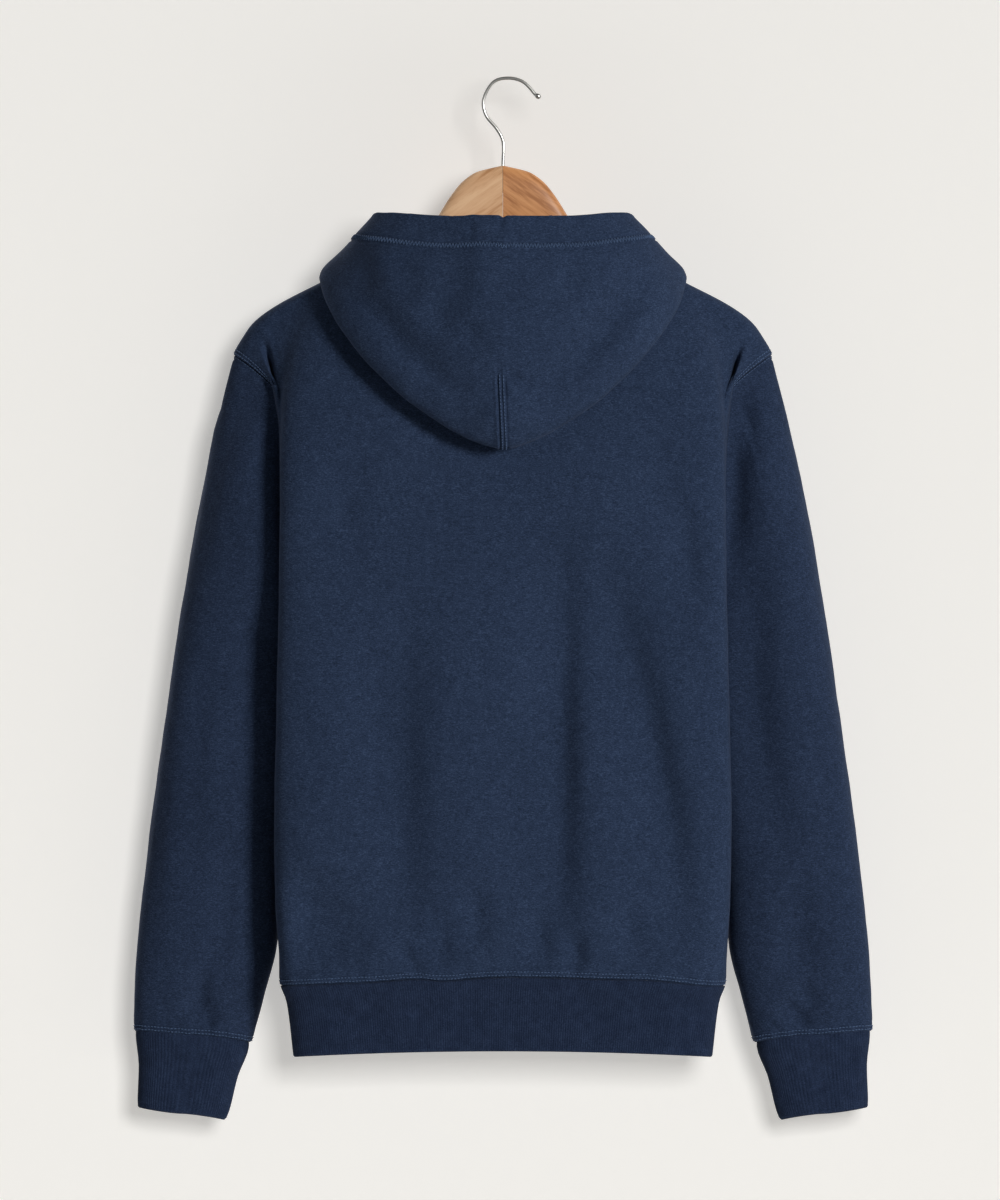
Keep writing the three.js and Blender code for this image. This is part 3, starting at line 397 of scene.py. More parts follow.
def yoke_row(side, k, rise):
    """One row above the armpit: the panel falls from the ridge and rounds over to the section below."""
    top_x, top_z = column_top(side, k)
    foot = column_points(side, half_section(ARMPIT_Z), k)
    crest_y, crest_z = ridge(top_x)
    x = lerp(foot[:, 0], top_x, rise**ARMHOLE_SWEEP)
    z = lerp(ARMPIT_Z, top_z, rise)
    drop = (crest_z - z) / (crest_z - ARMPIT_Z)
    rounded = 1 - (1 - drop) ** SHOULDER_ROUND[side]
    fall = np.clip((crest_z - z) / RIDGE_FALL, 0, 1)
    shelf = RIDGE_HALF * np.sqrt(fall * (2 - fall)) * (1 - rounded)
    near_armhole = np.clip((k - SHOULDER_START) / (HALF_COLUMNS - SHOULDER_START), 0, 1)
    bow = ARMHOLE_BOW * math.sin(math.pi * rise**ARMHOLE_SKEW) * near_armhole
    y = lerp(crest_y, foot[:, 1], rounded) + FACING[side] * (shelf + bow)
    return np.stack((x, y, z), axis=1)


def hem_line(middle_z, drop, x):
    return middle_z - drop * np.minimum(1, np.abs(x) / BODY_HALF) ** 2


def seam_line(side, x):
    return hem_seam(x).z if side == "back" else hem_line(HEM_SEAM_Z, HEM_SEAM_DROP, x)


SECTION_STEP = 2  # between the heights at which the body's sections are worked out


def section_field(side, k):
    """The columns k at every height below the armpit, read at any height of each column."""
    heights = np.arange(ARMPIT_Z, HEM_LOWEST - 2 * SECTION_STEP, -SECTION_STEP)
    field = np.array([column_points(side, half_section(z), k) for z in heights])
    places = np.arange(len(k))

    def read(z):
        step = np.clip((ARMPIT_Z - z) / SECTION_STEP, 0, len(heights) - 1.001)
        low = step.astype(int)
        flat = lerp(field[low, places], field[low + 1, places], (step - low)[:, None])
        return np.concatenate((flat, z[:, None]), axis=1)

    return read


def panel_points(side, columns, yoke_steps, body_shares):
    """A panel's outer face, with rows from the ridge to the hem and columns from side to side."""
    k = np.abs(columns)
    yoke_share = smooth_curve(range(YOKE_ROWS + 1), YOKE_SHARES)
    rows = [yoke_row(side, k, 1 - share) for share in yoke_share(np.linspace(0, YOKE_ROWS, yoke_steps + 1))]
    read = section_field(side, k)
    for share in body_shares:
        middle = read(np.full(len(k), lerp(ARMPIT_Z, HEM_SEAM_Z, share)))
        seam_z = seam_line(side, middle[:, 0] * np.sign(columns))
        rows.append(read(lerp(ARMPIT_Z, seam_z, share)))
    points = np.array(rows)
    points[:, :, 0] *= np.sign(columns)
    return points


# Cloth as a grid of points
def normals_of(points, closed=False):
    """Directions outwards: rows run down and columns run so that the outside faces the viewer."""
    down = np.gradient(points, axis=0)
    if closed:
        across = np.roll(points, -1, axis=1) - np.roll(points, 1, axis=1)
    else:
        across = np.gradient(points, axis=1)
    out = np.cross(down, across)
    return out / np.maximum(np.linalg.norm(out, axis=2, keepdims=True), 1e-9)


def smooth_inside(points, passes, closed=False):
    """Rounds off small kinks, with the edges of the cloth held."""
    for _ in range(passes):
        if closed:
            sideways = np.roll(points, 1, axis=1) + np.roll(points, -1, axis=1)
            points[1:-1] = points[1:-1] / 2 + (points[:-2] + points[2:] + sideways[1:-1]) / 8
        else:
            around = points[:-2, 1:-1] + points[2:, 1:-1] + points[1:-1, :-2] + points[1:-1, 2:]
            points[1:-1, 1:-1] = points[1:-1, 1:-1] / 2 + around / 8
    return points


WAVE_SEED = 5
CREASE_FADE = 0.7  # below 1 the depth rises quickly from the two ends
SPREAD_AT_ENDS = 0.35  # a crease widens this much towards its ends


def crease_depth(creases, x, z):
    """How deep the creases of a piece are at places seen from behind."""
    depth = np.zeros_like(x)
    for row in creases:
        c = SimpleNamespace(**dict(zip(CREASE_COLUMNS, row)))
        dx, dz = c.x2 - c.x1, c.z2 - c.z1
        length = math.hypot(dx, dz)
        along = np.clip(((x - c.x1) * dx + (z - c.z1) * dz) / length**2, 0, 1)
        across = ((z - c.z1) * dx - (x - c.x1) * dz) / length - c.bow * 4 * along * (1 - along)
        width = np.where(across > 0, c.left, c.right) * (1 + SPREAD_AT_ENDS * np.abs(2 * along - 1))
        depth += c.depth * np.sin(math.pi * along) ** CREASE_FADE * np.exp(-((across / width) ** 2))
    return depth


def unevenness(points, size, seed):
    """Soft unevenness of hanging cloth, from -1 to 1."""
    shift = Vector((seed, 2 * seed, -seed))
    flat = points.reshape(-1, 3) / size
    return np.array([noise.noise(Vector(p) + shift) for p in flat]).reshape(points.shape[:2])


def waves(points, sizes, seed):
    """Unevenness in waves of several sizes, each with its height."""
    return sum(
        height * unevenness(points, size, seed + WAVE_SEED * number) for number, (size, height) in enumerate(sizes)
    )


def from_edge(grid, edge):
    """A grid turned so that one edge of its cloth is its first row."""
    if edge in ("first", "last"):
        grid = grid.swapaxes(0, 1)
    return grid[::-1] if edge in ("bottom", "last") else grid


def distance_from(points, edge):
    """How far each point lies from one edge of its cloth, measured along the cloth."""
    lengths = lengths_along(from_edge(points, edge))
    if edge in ("bottom", "last"):
        lengths = lengths[::-1]
    return lengths.swapaxes(0, 1) if edge in ("first", "last") else lengths


def press_seam(points, edge, depth, width, closed=False, pucker=0.0, pucker_pitch=11.0, rows=()):
    """Draws the cloth in along a seam and its rows of stitches and puckers it beside them."""
    away = distance_from(points, edge)
    along = distance_from(points, "first" if edge in ("top", "bottom") else "top")
    wave = np.sin(2 * math.pi * along / pucker_pitch + 2.1 * np.sin(along / (3.7 * pucker_pitch)))
    ripple = pucker * wave * np.exp(-away / pucker_pitch) * np.clip(away / 2, 0, 1)
    sunk = depth * np.exp(-((away / width) ** 2)) + ripple
    for row in rows:
        sunk += STITCH_SINK * np.exp(-(((away - row) / STITCH_GROOVE) ** 2))
    points -= normals_of(points, closed) * sunk[:, :, None]


def line_beside(points, normals, edge, distance):
    """A line on the cloth at a fixed distance from one edge, with the directions outwards."""
    places, outwards = from_edge(points, edge), from_edge(normals, edge)
    lengths = lengths_along(places)
    across = range(places.shape[1])
    return [
        np.array([read_at(distance, lengths[:, i], grid[:, i]) for i in across]) for grid in (places, outwards)
    ]


# Meshes
def object_of(bm, name):
    mesh = bpy.data.meshes.new(name)
    bm.to_mesh(mesh)
    bm.free()
    piece = bpy.data.objects.new(name, mesh)
    bpy.context.scene.collection.objects.link(piece)
    return piece


def grid_mesh(name, points, closed_across=False, closed_down=False, cap=False):
    """A mesh on a grid of points; closed grids have their last row or column joined to the first."""
    if closed_across:
        points = np.concatenate((points, points[:, :1]), axis=1)
    if closed_down:
        points = np.concatenate((points, points[:1]), axis=0)
    rows, columns = points.shape[:2]
    bm = bmesh.new()
    uv_layer = bm.loops.layers.uv.new("cloth")
    bmesh.ops.create_grid(bm, x_segments=columns - 1, y_segments=rows - 1, size=0.5)
    across = distance_from(points, "first")
    down = distance_from(points, "top")
    spots = {}
    for v in bm.verts:
        i = round((v.co.x + 0.5) * (columns - 1))
        j = round((0.5 - v.co.y) * (rows - 1))
        spots[v.index] = (j, i)
    bm.verts.index_update()
    for v in bm.verts:
        v.co = Vector(points[spots[v.index]]) * MM
    for face in bm.faces:
        face.smooth = True
        for loop in face.loops:
            spot = spots[loop.vert.index]
            loop[uv_layer].uv = (across[spot] * MM, -down[spot] * MM)
    if closed_across or closed_down:
        bmesh.ops.remove_doubles(bm, verts=bm.verts[:], dist=1e-7)
    if cap:
        rims = [edge for edge in bm.edges if edge.is_boundary]
        for edge in rims:
            edge.smooth = False
        bmesh.ops.holes_fill(bm, edges=rims, sides=0)
    if cap or closed_down:
        bmesh.ops.recalc_face_normals(bm, faces=bm.faces[:])
    return object_of(bm, name)


def give_wall(piece, wall):
    """Gives a sheet its thickness, inwards from its outer face."""
    modifier = piece.modifiers.new("wall", "SOLIDIFY")
    modifier.thickness = wall * MM
    modifier.offset = -1
    modifier.use_even_offset = False
    return piece


def finish_piece(piece, material, nodes=()):
    piece.data.materials.append(material)
    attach(piece, "root")
    if nodes:
        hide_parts(*nodes)
    return piece


# Stitches
STITCH_BUMP = 0.35  # how far the middle of a stitch stands above the cloth


def stitch_row(bm, line, outwards, pitch, length, thickness, slants=(0.0,)):
    """Lays stitches one after the other on a line, each turned about the normal by the next slant."""
    lengths = lengths_along(line)
    count = int(lengths[-1] // pitch)
    for number in range(count):
        wanted = (number + 0.5) * lengths[-1] / count
        place = Vector(read_at(wanted, lengths, line))
        ahead = Vector(read_at(wanted + pitch / 4, lengths, line))
        out = Vector(read_at(wanted, lengths, outwards)).normalized()
        along = (ahead - place).normalized()
        along = (along - out * along.dot(out)).normalized()
        along.rotate(Matrix.Rotation(slants[number % len(slants)], 3, out))
        side = out.cross(along)
        turn = Matrix((along, side, out)).transposed().to_4x4()
        size = Matrix.Diagonal((length / 2 * MM, thickness / 2 * MM, thickness / 2 * MM, 1))
        centre = Matrix.Translation((place + out * STITCH_BUMP * thickness) * MM)
        bmesh.ops.create_icosphere(bm, subdivisions=1, radius=1, matrix=centre @ turn @ size)


def stitched(name, rows, material):
    """One piece for the rows of stitches of a seam; each row is a dict of stitch_row's values."""
    bm = bmesh.new()
    for row in rows:
        stitch_row(bm, **row)
    for face in bm.faces:
        face.smooth = True
    return finish_piece(object_of(bm, name), material)


# Shader maths
class Value:
    """One output of a node. Python's operators on it add Math nodes."""

    def __init__(self, nodes, socket):
        self.nodes = nodes
        self.socket = socket

    def _math(self, operation, *terms):
        return self.nodes.node("ShaderNodeMath", {"operation": operation}, dict(enumerate(terms)))

    def __add__(self, other):
        return self._math("ADD", self, other)

    def __sub__(self, other):
        return self._math("SUBTRACT", self, other)

    def __rsub__(self, other):
        return self._math("SUBTRACT", other, self)

    def __mul__(self, other):
        return self._math("MULTIPLY", self, other)

    __radd__ = __add__
    __rmul__ = __mul__


class Nodes:
    """The node tree of a material or of the world."""

    def __init__(self, tree, output):
        self.tree = tree
        tree.nodes.clear()
        self.output = tree.nodes.new(output)

    def node(self, kind, settings, values, output=0):
        """Adds a node: its settings first, then the values or links of its sockets."""
        node = self.tree.nodes.new(kind)
        for setting, value in settings.items():
            setattr(node, setting, value)
        for socket, value in values.items():
            if isinstance(value, Value):
                self.tree.links.new(value.socket, node.inputs[socket])
            else:
                node.inputs[socket].default_value = value
        return Value(self, node.outputs[output])

    def show(self, value):
        self.tree.links.new(value.socket, self.output.inputs["Surface"])


class Shader(Nodes):
    """A material with one Principled shader."""

    def __init__(self, name, **fixed):
        self.material = bpy.data.materials.new(name)
        self.material.use_nodes = True
        super().__init__(self.material.node_tree, "ShaderNodeOutputMaterial")
        fixed = {socket.replace("_", " "): value for socket, value in fixed.items()}
        self.face = self.node("ShaderNodeBsdfPrincipled", {}, fixed)
        self.surface = self.face.socket.node
        self.show(self.face)

    def place(self, scale=(1, 1, 1), turn=(0, 0, 0)):
        """Object coordinates, turned and scaled."""
        at = self.node("ShaderNodeTexCoord", {}, {}, "Object")
        return self.node("ShaderNodeMapping", {}, {"Vector": at, "Rotation": turn, "Scale": scale})

    def noise(self, vector, scale, detail=2.0, roughness=0.5):
        values = {"Vector": vector, "Scale": scale, "Detail": detail, "Roughness": roughness}
        return self.node("ShaderNodeTexNoise", {}, values)

    def mix(self, factor, first, second):
        sockets = {0: factor, 6: first, 7: second}
        return self.node("ShaderNodeMix", {"data_type": "RGBA"}, sockets, 2)

    def steps(self, value, low, high):
        """0 below low and 1 above high, smooth between them."""
        values = {"Value": value, "From Min": low, "From Max": high}
        return self.node("ShaderNodeMapRange", {"interpolation_type": "SMOOTHSTEP"}, values)

    def set(self, socket, value):
        self.tree.links.new(value.socket, self.surface.inputs[socket])

    def bump(self, height, strength, distance):
        values = {"Height": height, "Strength": strength, "Distance": distance}
        self.set("Normal", self.node("ShaderNodeBump", {}, values))


def colour(red, green, blue):
    """A colour as it shows on a screen, from 11 to 255, in the shader's own scale."""
    return (*(((c / 255 + 0.055) / 1.055) ** 2.4 for c in (red, green, blue)), 1)


def fleece_material(name, dark, mid, light):
    """Jersey face of fleece: fine sideways flecks of yarn, with hardly any larger patches."""
    shader = Shader(name, Roughness=0.95, Specular_IOR_Level=0.12, Sheen_Weight=0.07, Sheen_Roughness=0.45)
    shader.surface.inputs["Sheen Tint"].default_value = (0.5, 0.62, 0.95, 1)
    flecks = shader.noise(shader.place((1, 1, 2.0)), 760, 2, 0.55)
    streaks = shader.noise(shader.place((1, 1, 3.4)), 330, 2, 0.5)
    mottle = shader.noise(shader.place(), 120, 3, 0.6)
    patches = shader.noise(shader.place((1, 1, 0.6)), 14, 2, 0.5)
    tone = flecks * 0.5 + streaks * 0.3 + mottle * 0.13 + patches * 0.07
    low = shader.mix(shader.steps(tone, 0.38, 0.5), dark, mid)
    shader.set("Base Color", shader.mix(shader.steps(tone, 0.5, 0.62), low, light))
    shader.bump(flecks * 0.7 + streaks * 0.5, 0.45, 0.0007)
    return shader.material


def rib_material():
    """Rib knit: the ribs themselves are modelled, so only the yarn and its loops are shaded."""
    shader = Shader("rib knit", Roughness=0.95, Specular_IOR_Level=0.12, Sheen_Weight=0.05)
    yarn = shader.noise(shader.place((1, 1, 1.6)), 800, 3, 0.6)
    mottle = shader.noise(shader.place(), 110, 2, 0.5)
    tone = yarn * 0.75 + mottle * 0.25
    base = shader.mix(shader.steps(tone, 0.36, 0.5), colour(22, 33, 55), colour(32, 44, 68))
    shader.set("Base Color", shader.mix(shader.steps(tone, 0.5, 0.64), base, colour(43, 57, 84)))
    shader.bump(yarn, 0.45, 0.0006)
    return shader.material


def thread_material():
    shader = Shader("thread", Roughness=0.75, Specular_IOR_Level=0.2, Sheen_Weight=0.05)
    twist = shader.noise(shader.place(), 1500, 1, 0.5)
    blend = shader.steps(twist, 0.35, 0.65)
    shader.set("Base Color", shader.mix(blend, colour(56, 76, 108), colour(82, 105, 141)))
    shader.bump(twist, 0.3, 0.0002)
    return shader.material


GRAIN_SLANT = 0.62  # radians between the grain and the hanger's length
GRAIN_SCALE = (34, 60, 330)


def wood_material(name, side, pale, mid, deep):
    """Wood with its grain slanting up towards the joint in the middle, under a satin lacquer."""
    shader = Shader(name, Roughness=0.42, Coat_Weight=0.25, Coat_Roughness=0.25)
    turned = shader.place((1, 1, 1), (0, -side * GRAIN_SLANT, 0))
    stretched = shader.node("ShaderNodeVectorMath", {"operation": "MULTIPLY"}, {0: turned, 1: GRAIN_SCALE})
    fibres = shader.noise(stretched, 1.0, 4, 0.6)
    pores = shader.noise(stretched, 4.2, 2, 0.7)
    bands = shader.noise(stretched, 0.22, 2, 0.5)
    tone = fibres * 0.5 + bands * 0.5
    base = shader.mix(shader.steps(tone, 0.36, 0.52), deep, mid)
    warm = shader.mix(shader.steps(tone, 0.5, 0.68), base, pale)
    dark_pores = shader.steps(pores, 0.62, 0.74) * 0.35
    shader.set("Base Color", shader.mix(dark_pores, warm, deep))
    shader.set("Roughness", 0.36 + fibres * 0.16)
    shader.bump(fibres + pores * 0.4, 0.15, 0.0004)
    return shader.material


def steel_material():
    shader = Shader("hook steel", Metallic=1.0)
    shader.surface.inputs["Base Color"].default_value = (0.62, 0.62, 0.6, 1)
    streaks = shader.noise(shader.place((1, 1, 1)), 1400, 3, 0.7)
    shader.set("Roughness", 0.22 + streaks * 0.2)
    shader.bump(streaks, 0.08, 0.0001)
    return shader.material


fleece = fleece_material("fleece", colour(28, 40, 61), colour(40, 54, 79), colour(56, 72, 101))
# The sleeves get the same fleece painted a little darker: painted shade for the sleeves hanging deeper, behind the
# body's side folds
sleeve_fleece_with_painted_shade = fleece_material("sleeve fleece with painted shade", colour(26, 37, 57), colour(37, 50, 74), colour(52, 67, 95))
rib_knit = rib_material()
thread = thread_material()
light_wood = wood_material("light wood", 1, colour(246, 202, 158), colour(234, 186, 142), colour(203, 148, 102))
dark_wood = wood_material("dark wood", -1, colour(236, 174, 118), colour(219, 154, 100), colour(178, 116, 68))
steel = steel_material()

# Panels
SMOOTHING = 6
PANEL_WAVES = ((38, 0.5), (14, 0.18))  # size and height
RIDGE_CALM = 30  # no waves at the shoulder seam, all of them this far below it
SEAM_SINK = 1.4
SEAM_WIDTH = 1.2
STITCH_LINES = (2.0, 4.9)  # how far the twin rows lie from a seam
STITCH_SINK = 0.5
STITCH_GROOVE = 0.9
# The back folds over beside the armhole and leaves a valley there, in column numbers
VALLEY_TOP = -212
VALLEY_RUN = 46
VALLEY_END = (-400, 130)
VALLEY_COLUMN = 12.2
VALLEY_WIDTH = 0.75
VALLEY_DEPTH = 20
EDGE_SHARE = 0.978  # rows lie closer from here to the hem seam


def rows_to_edge(count, edge_count):
    """Even steps down to the hem seam, closer where it is stitched."""
    return np.concatenate((np.linspace(0, EDGE_SHARE, count)[1:], np.linspace(EDGE_SHARE, 1, edge_count)[1:]))


body_shares = rows_to_edge(94, 15)
side_columns = np.concatenate((np.linspace(0, 14.2, 86), np.linspace(14.2, 15, 12)[1:]))


def panel(side, columns, yoke_steps, shares, seed):
    """A panel with its creases; sews from the ridge down to the hem seam."""
    points = panel_points(side, columns, yoke_steps, shares)
    smooth_inside(points, SMOOTHING)
    x, z = points[:, :, 0], points[:, :, 2]
    flat = 1 - np.clip((np.abs(x) - (body_sections(z).fold_x - FOLD_ROUND)) / FOLD_ROUND, 0, 1)
    if side == "back":
        into = np.clip((VALLEY_TOP - z) / VALLEY_RUN, 0, 1)
        beside = np.exp(-(((np.abs(columns) - VALLEY_COLUMN) / VALLEY_WIDTH) ** 2))
        into *= 1 - np.clip((VALLEY_END[0] - z) / VALLEY_END[1], 0, 1)
        points[:, :, 1] -= VALLEY_DEPTH * into**2 * (3 - 2 * into) * beside
    below_ridge = np.clip(distance_from(points, "top") / RIDGE_CALM, 0, 1)
    sunk = crease_depth(CREASES[side], x, z) * flat
    sunk += waves(points, PANEL_WAVES, seed) * below_ridge
    points -= normals_of(points) * sunk[:, :, None]
    press_seam(points, "bottom", SEAM_SINK, SEAM_WIDTH, pucker=0.5, pucker_pitch=17, rows=STITCH_LINES)
    press_seam(points, "first", SEAM_SINK, SEAM_WIDTH, pucker=0.15, rows=STITCH_LINES)
    press_seam(points, "last", SEAM_SINK, SEAM_WIDTH, pucker=0.15, rows=STITCH_LINES)
    return points


back_columns = np.concatenate((side_columns[::-1], -side_columns[1:]))
YOKE_STEPS = 90
back = panel("back", back_columns, YOKE_STEPS, body_shares, 3)
front_side = np.concatenate((np.linspace(0, 14.4, 60), np.linspace(14.4, 15, 7)[1:]))
front_columns = np.concatenate((-front_side[::-1], front_side[1:]))
FRONT_YOKE_STEPS = 60
front_shares = rows_to_edge(60, 13)
front = panel("front", front_columns, FRONT_YOKE_STEPS, front_shares, 11)

back_panel = grid_mesh("back_panel", back)
front_panel = grid_mesh("front_panel", front)
for piece, node in ((back_panel, "body_back"), (front_panel, "body_front")):
    give_wall(piece, FLEECE)
    finish_piece(piece, fleece, [node])

# Sleeves
SLEEVE_LEAN = 0.26
SLEEVE_RETURN = 0.6
SLEEVE_REACH = 0.36
SLEEVE_STAND_OFF = 0.6
CUFF_SEAM_TILT = 10
CUFF_SEAM_CURVE = 1.5
SLEEVE_TOP_Z = -430
SLEEVE_END_Z = -809
HEAD_STEPS = 60
ARM_STEPS = 100
CUFF_EDGE_SHARE = 0.977  # rows lie closer from here to the cuff
SLEEVE_RIDGE = 3.7  # the seam allowance shows this far below the armhole seam
SLEEVE_STITCH_LINE = 1.9
SLEEVE_WAVES = ((34, 0.5), (13, 0.18))
ARMHOLE_CALM = 16
BACK_BLEND = 12  # creases of the back fade out over this depth at the sleeve's side


def armhole(mirror):
    """The sleeve's edge: down the back of the armhole and up its front, with each point's angle."""
    back_edge = -1 if mirror < 0 else 0
    front_edge = 0 if mirror < 0 else -1
    down = back[: YOKE_STEPS + 1, back_edge]
    outwards = normals_of(back)[: YOKE_STEPS + 1, back_edge]
    up = front[1:FRONT_YOKE_STEPS, front_edge][::-1]
    outwards_up = normals_of(front)[1:FRONT_YOKE_STEPS, front_edge][::-1]
    down_angle = math.pi * np.linspace(0, 1, YOKE_STEPS + 1)
    up_angle = 2 * math.pi - math.pi * np.linspace(0, 1, FRONT_YOKE_STEPS + 1)[1:-1][::-1]
    angle = np.concatenate((down_angle, up_angle))
    return np.concatenate((down, up)), np.concatenate((outwards, outwards_up)), angle


SLEEVE_SQUARENESS = 2.8


def squared(angle, squareness):
    """A round outline's two sides, bent so that it comes out squarer than an ellipse."""
    return [np.sign(value) * np.abs(value) ** (2 / squareness) for value in (np.cos(angle), np.sin(angle))]


def oval(s, mirror, angle, z, mid_y):
    """A level outline, flatter at its front and back than an ellipse."""
    across, deep = squared(angle, SLEEVE_SQUARENESS)
    x = mirror * ((s.out_x + s.in_x) / 2 + (s.out_x - s.in_x) / 2 * across)
    return np.stack((x, mid_y + s.half_depth * deep, z + 0 * angle), axis=1)


def sleeve_points(mirror):
    start, outwards, angle = armhole(mirror)
    top = sleeve_sections(SLEEVE_TOP_Z)
    end = oval(top, mirror, angle, SLEEVE_TOP_Z, top.mid_y)
    reach = ((start[:, 2] - end[:, 2]) * SLEEVE_REACH)[:, None]
    topness = (1 + np.cos(angle)) / 2
    lean = mirror * SLEEVE_LEAN * topness
    leave = np.stack((lean, 0 * lean, -1 + 0 * lean), axis=1)
    leave[:, :2] += outwards[:, :2] * (SLEEVE_STAND_OFF * (1 - topness))[:, None]
    arrive = np.stack((-SLEEVE_RETURN * lean, 0 * lean, 1 + 0 * lean), axis=1)
    bends = (start, start + leave * reach, end + arrive * reach, end)
    rows = []
    for share in np.linspace(0, 1, HEAD_STEPS + 1) ** 1.35:
        weights = ((1 - share) ** 3, 3 * share * (1 - share) ** 2, 3 * share**2 * (1 - share), share**3)
        rows.append(sum(weight * bend for weight, bend in zip(weights, bends)))
    inwards = (1 - np.cos(angle)) / 2
    near_seam = np.linspace(CUFF_EDGE_SHARE, 1, 15)[1:]
    for share in np.concatenate((np.linspace(0, CUFF_EDGE_SHARE, ARM_STEPS)[1:], near_seam)):
        z = lerp(SLEEVE_TOP_Z, SLEEVE_END_Z, share)
        tilt = CUFF_SEAM_TILT * inwards**CUFF_SEAM_CURVE * share**3
        section = sleeve_sections(z)
        rows.append(oval(section, mirror, angle, z - tilt, section.mid_y))
    return np.array(rows)


def sleeve(name, mirror, seed):
    points = sleeve_points(mirror)
    if mirror < 0:
        points = points[:, ::-1]
    smooth_inside(points, SMOOTHING, closed=True)
    x, y, z = (points[:, :, axis] for axis in range(3))
    behind = np.clip((y - sleeve_sections(np.minimum(z, SLEEVE_TOP_Z)).mid_y) / BACK_BLEND, -1, 1)
    sunk = crease_depth(CREASES[f"sleeve_{name}_back"], x, z) * np.clip(behind, 0, 1)
    sunk += crease_depth(CREASES[f"sleeve_{name}_front"], x, z) * np.clip(-behind, 0, 1)
    sunk += waves(points, SLEEVE_WAVES, seed)
    sunk *= np.clip(distance_from(points, "top") / ARMHOLE_CALM, 0, 1)
    points -= normals_of(points, closed=True) * sunk[:, :, None]
    press_seam(points, "top", SEAM_SINK, SEAM_WIDTH, closed=True, pucker=0.12, rows=(SLEEVE_RIDGE,) * 2)
    press_seam(points, "bottom", SEAM_SINK, SEAM_WIDTH, closed=True, pucker=0.5, pucker_pitch=13, rows=STITCH_LINES)
    return points


sleeves = {}
for name, mirror, seed in (("left", 1, 21), ("right", -1, 31)):
    sleeves[name] = sleeve(name, mirror, seed)
    piece = grid_mesh(f"{name}_sleeve", sleeves[name], closed_across=True)
    give_wall(piece, FLEECE)
    # the sleeves wear the darker copy of the fleece, which is painted shade
    finish_piece(piece, sleeve_fleece_with_painted_shade, [f"sleeve_{name}"])

# Hood
HOOD_WIDEST = (156, -169.2)
HOOD_POINT = (60, -316.6)
HOOD_STAND = 12
HOOD_BEND = 4.2
HOOD_CLEAR = 0.9
STAND = ((0.05, 0.65), (1, 1), (2, 0.6))
POINT_SET_IN = 8
POINT_ROUND = (4 / 3, 0.6)
SWELL_SIDEWAYS = 0.2
INNER_SHARES = (1 / 3, 2 / 3)
OUTER_SHARES = (0.3, 0.66)
HOOD_STEPS = (3, 3, 3, 5, 5, 5, 5, 5, 16, 26, 54)
HOOD_SMOOTHING = 3
HOOD_WAVES = ((30, 0.6),)
HOOD_SEED = 41
RIM_SEED = 47
RIM_TURN = 2.2  # radius of the fold at the rim
RIM_HEM = 25  # how wide the hem of the rim is
RIM_ARC = (30, 60, 90, 120, 150, 180)
HEM_DOWN = (3, 8, 14, 20, 25)


class Panels:
    """The outer faces of the panels, to keep the hood clear of them."""

    def __init__(self, *pieces):
        self.trees = []
        for piece in pieces:
            bm = bmesh.new()
            bm.from_mesh(piece.data)
            self.trees.append(BVHTree.FromBMesh(bm))
            bm.free()

    def nearest(self, point):
        found = [tree.find_nearest(Vector(point) * MM) for tree in self.trees]
        place, normal, _, _ = min(found, key=lambda hit: hit[3])
        return np.array(place) / MM, np.array(normal)

    def push(self, point, clear):
        place, normal = self.nearest(point)
        return place + normal * clear if np.dot(point - place, normal) < clear else point


panels = Panels(back_panel, front_panel)


def unit(vector):
    return vector / np.linalg.norm(vector)


def hood_profile(turn, mirror):
    """One column of the hood, from the neckline over the roll, down to its fold and up to the rim."""
    side = "back" if turn > 1 else "front"
    k = np.array([NECK_COLUMNS * (2 - turn if turn > 1 else turn)])
    seam = yoke_row(side, k, 1)[0] * (mirror, 1, 1)
    rim = hood_rim(turn)
    rim_point = np.array((mirror * rim.x, rim.y, rim.z))
    if turn <= 1:
        t = hood_tip(turn)
        tip = np.array((mirror * t.x, t.y, t.z))
    else:
        angle = math.pi / 2 * (turn - 1)
        x = mirror * HOOD_WIDEST[0] * max(math.cos(angle), 0) ** POINT_ROUND[0]
        y = HOOD_POINT[0] * math.sin(angle) ** POINT_ROUND[1] - POINT_SET_IN
        tip = np.array((x, y, lerp(HOOD_WIDEST[1], HOOD_POINT[1], math.sin(angle) ** POINT_ROUND[0])))
    _, normal = panels.nearest(tip)
    tip = panels.push(tip, HOOD_CLEAR + rim.roll)
    upwards = unit((seam + rim_point) / 2 - tip)
    in_tip = tip + (upwards - normal) * rim.roll
    out_tip = tip + (upwards + normal) * rim.roll
    away = unit((in_tip - seam) * (1, 1, 0))
    stand = [seam]
    stand += [seam + away * across * HOOD_BEND + np.array((0, 0, up * HOOD_STAND)) for across, up in STAND]
    inner = [panels.push(lerp(stand[-1], in_tip, share), HOOD_CLEAR) for share in INNER_SHARES]
    swell = unit(np.array((rim_point[0] * SWELL_SIDEWAYS, rim_point[1], 0)))
    outer = [
        lerp(out_tip, rim_point, share) + swell * rim.bulge * math.sin(math.pi * share)
        for share in OUTER_SHARES
    ]
    return np.array([*stand, *inner, panels.push(in_tip, HOOD_CLEAR), tip, out_tip, *outer, rim_point])


def spline(corners, steps):
    """A smooth curve through rows of corners, each stretch with its own number of steps."""
    spans = np.sqrt(np.linalg.norm(np.diff(corners, axis=0), axis=2, keepdims=True))
    slopes = np.diff(corners, axis=0) / spans
    inner = (slopes[:-1] * spans[1:] + slopes[1:] * spans[:-1]) / (spans[:-1] + spans[1:])
    tangents = np.concatenate((slopes[:1], inner, slopes[-1:]))
    rows = [corners[0]]
    for i, count in enumerate(steps):
        start, end = tangents[i] * spans[i], tangents[i + 1] * spans[i]
        rise = corners[i + 1] - corners[i]
        for s in np.linspace(0, 1, count + 1)[1:]:
            bend = 3 * rise - 2 * start - end + s * (start + end - 2 * rise)
            rows.append(corners[i] + s * (start + s * bend))
    return np.array(rows)


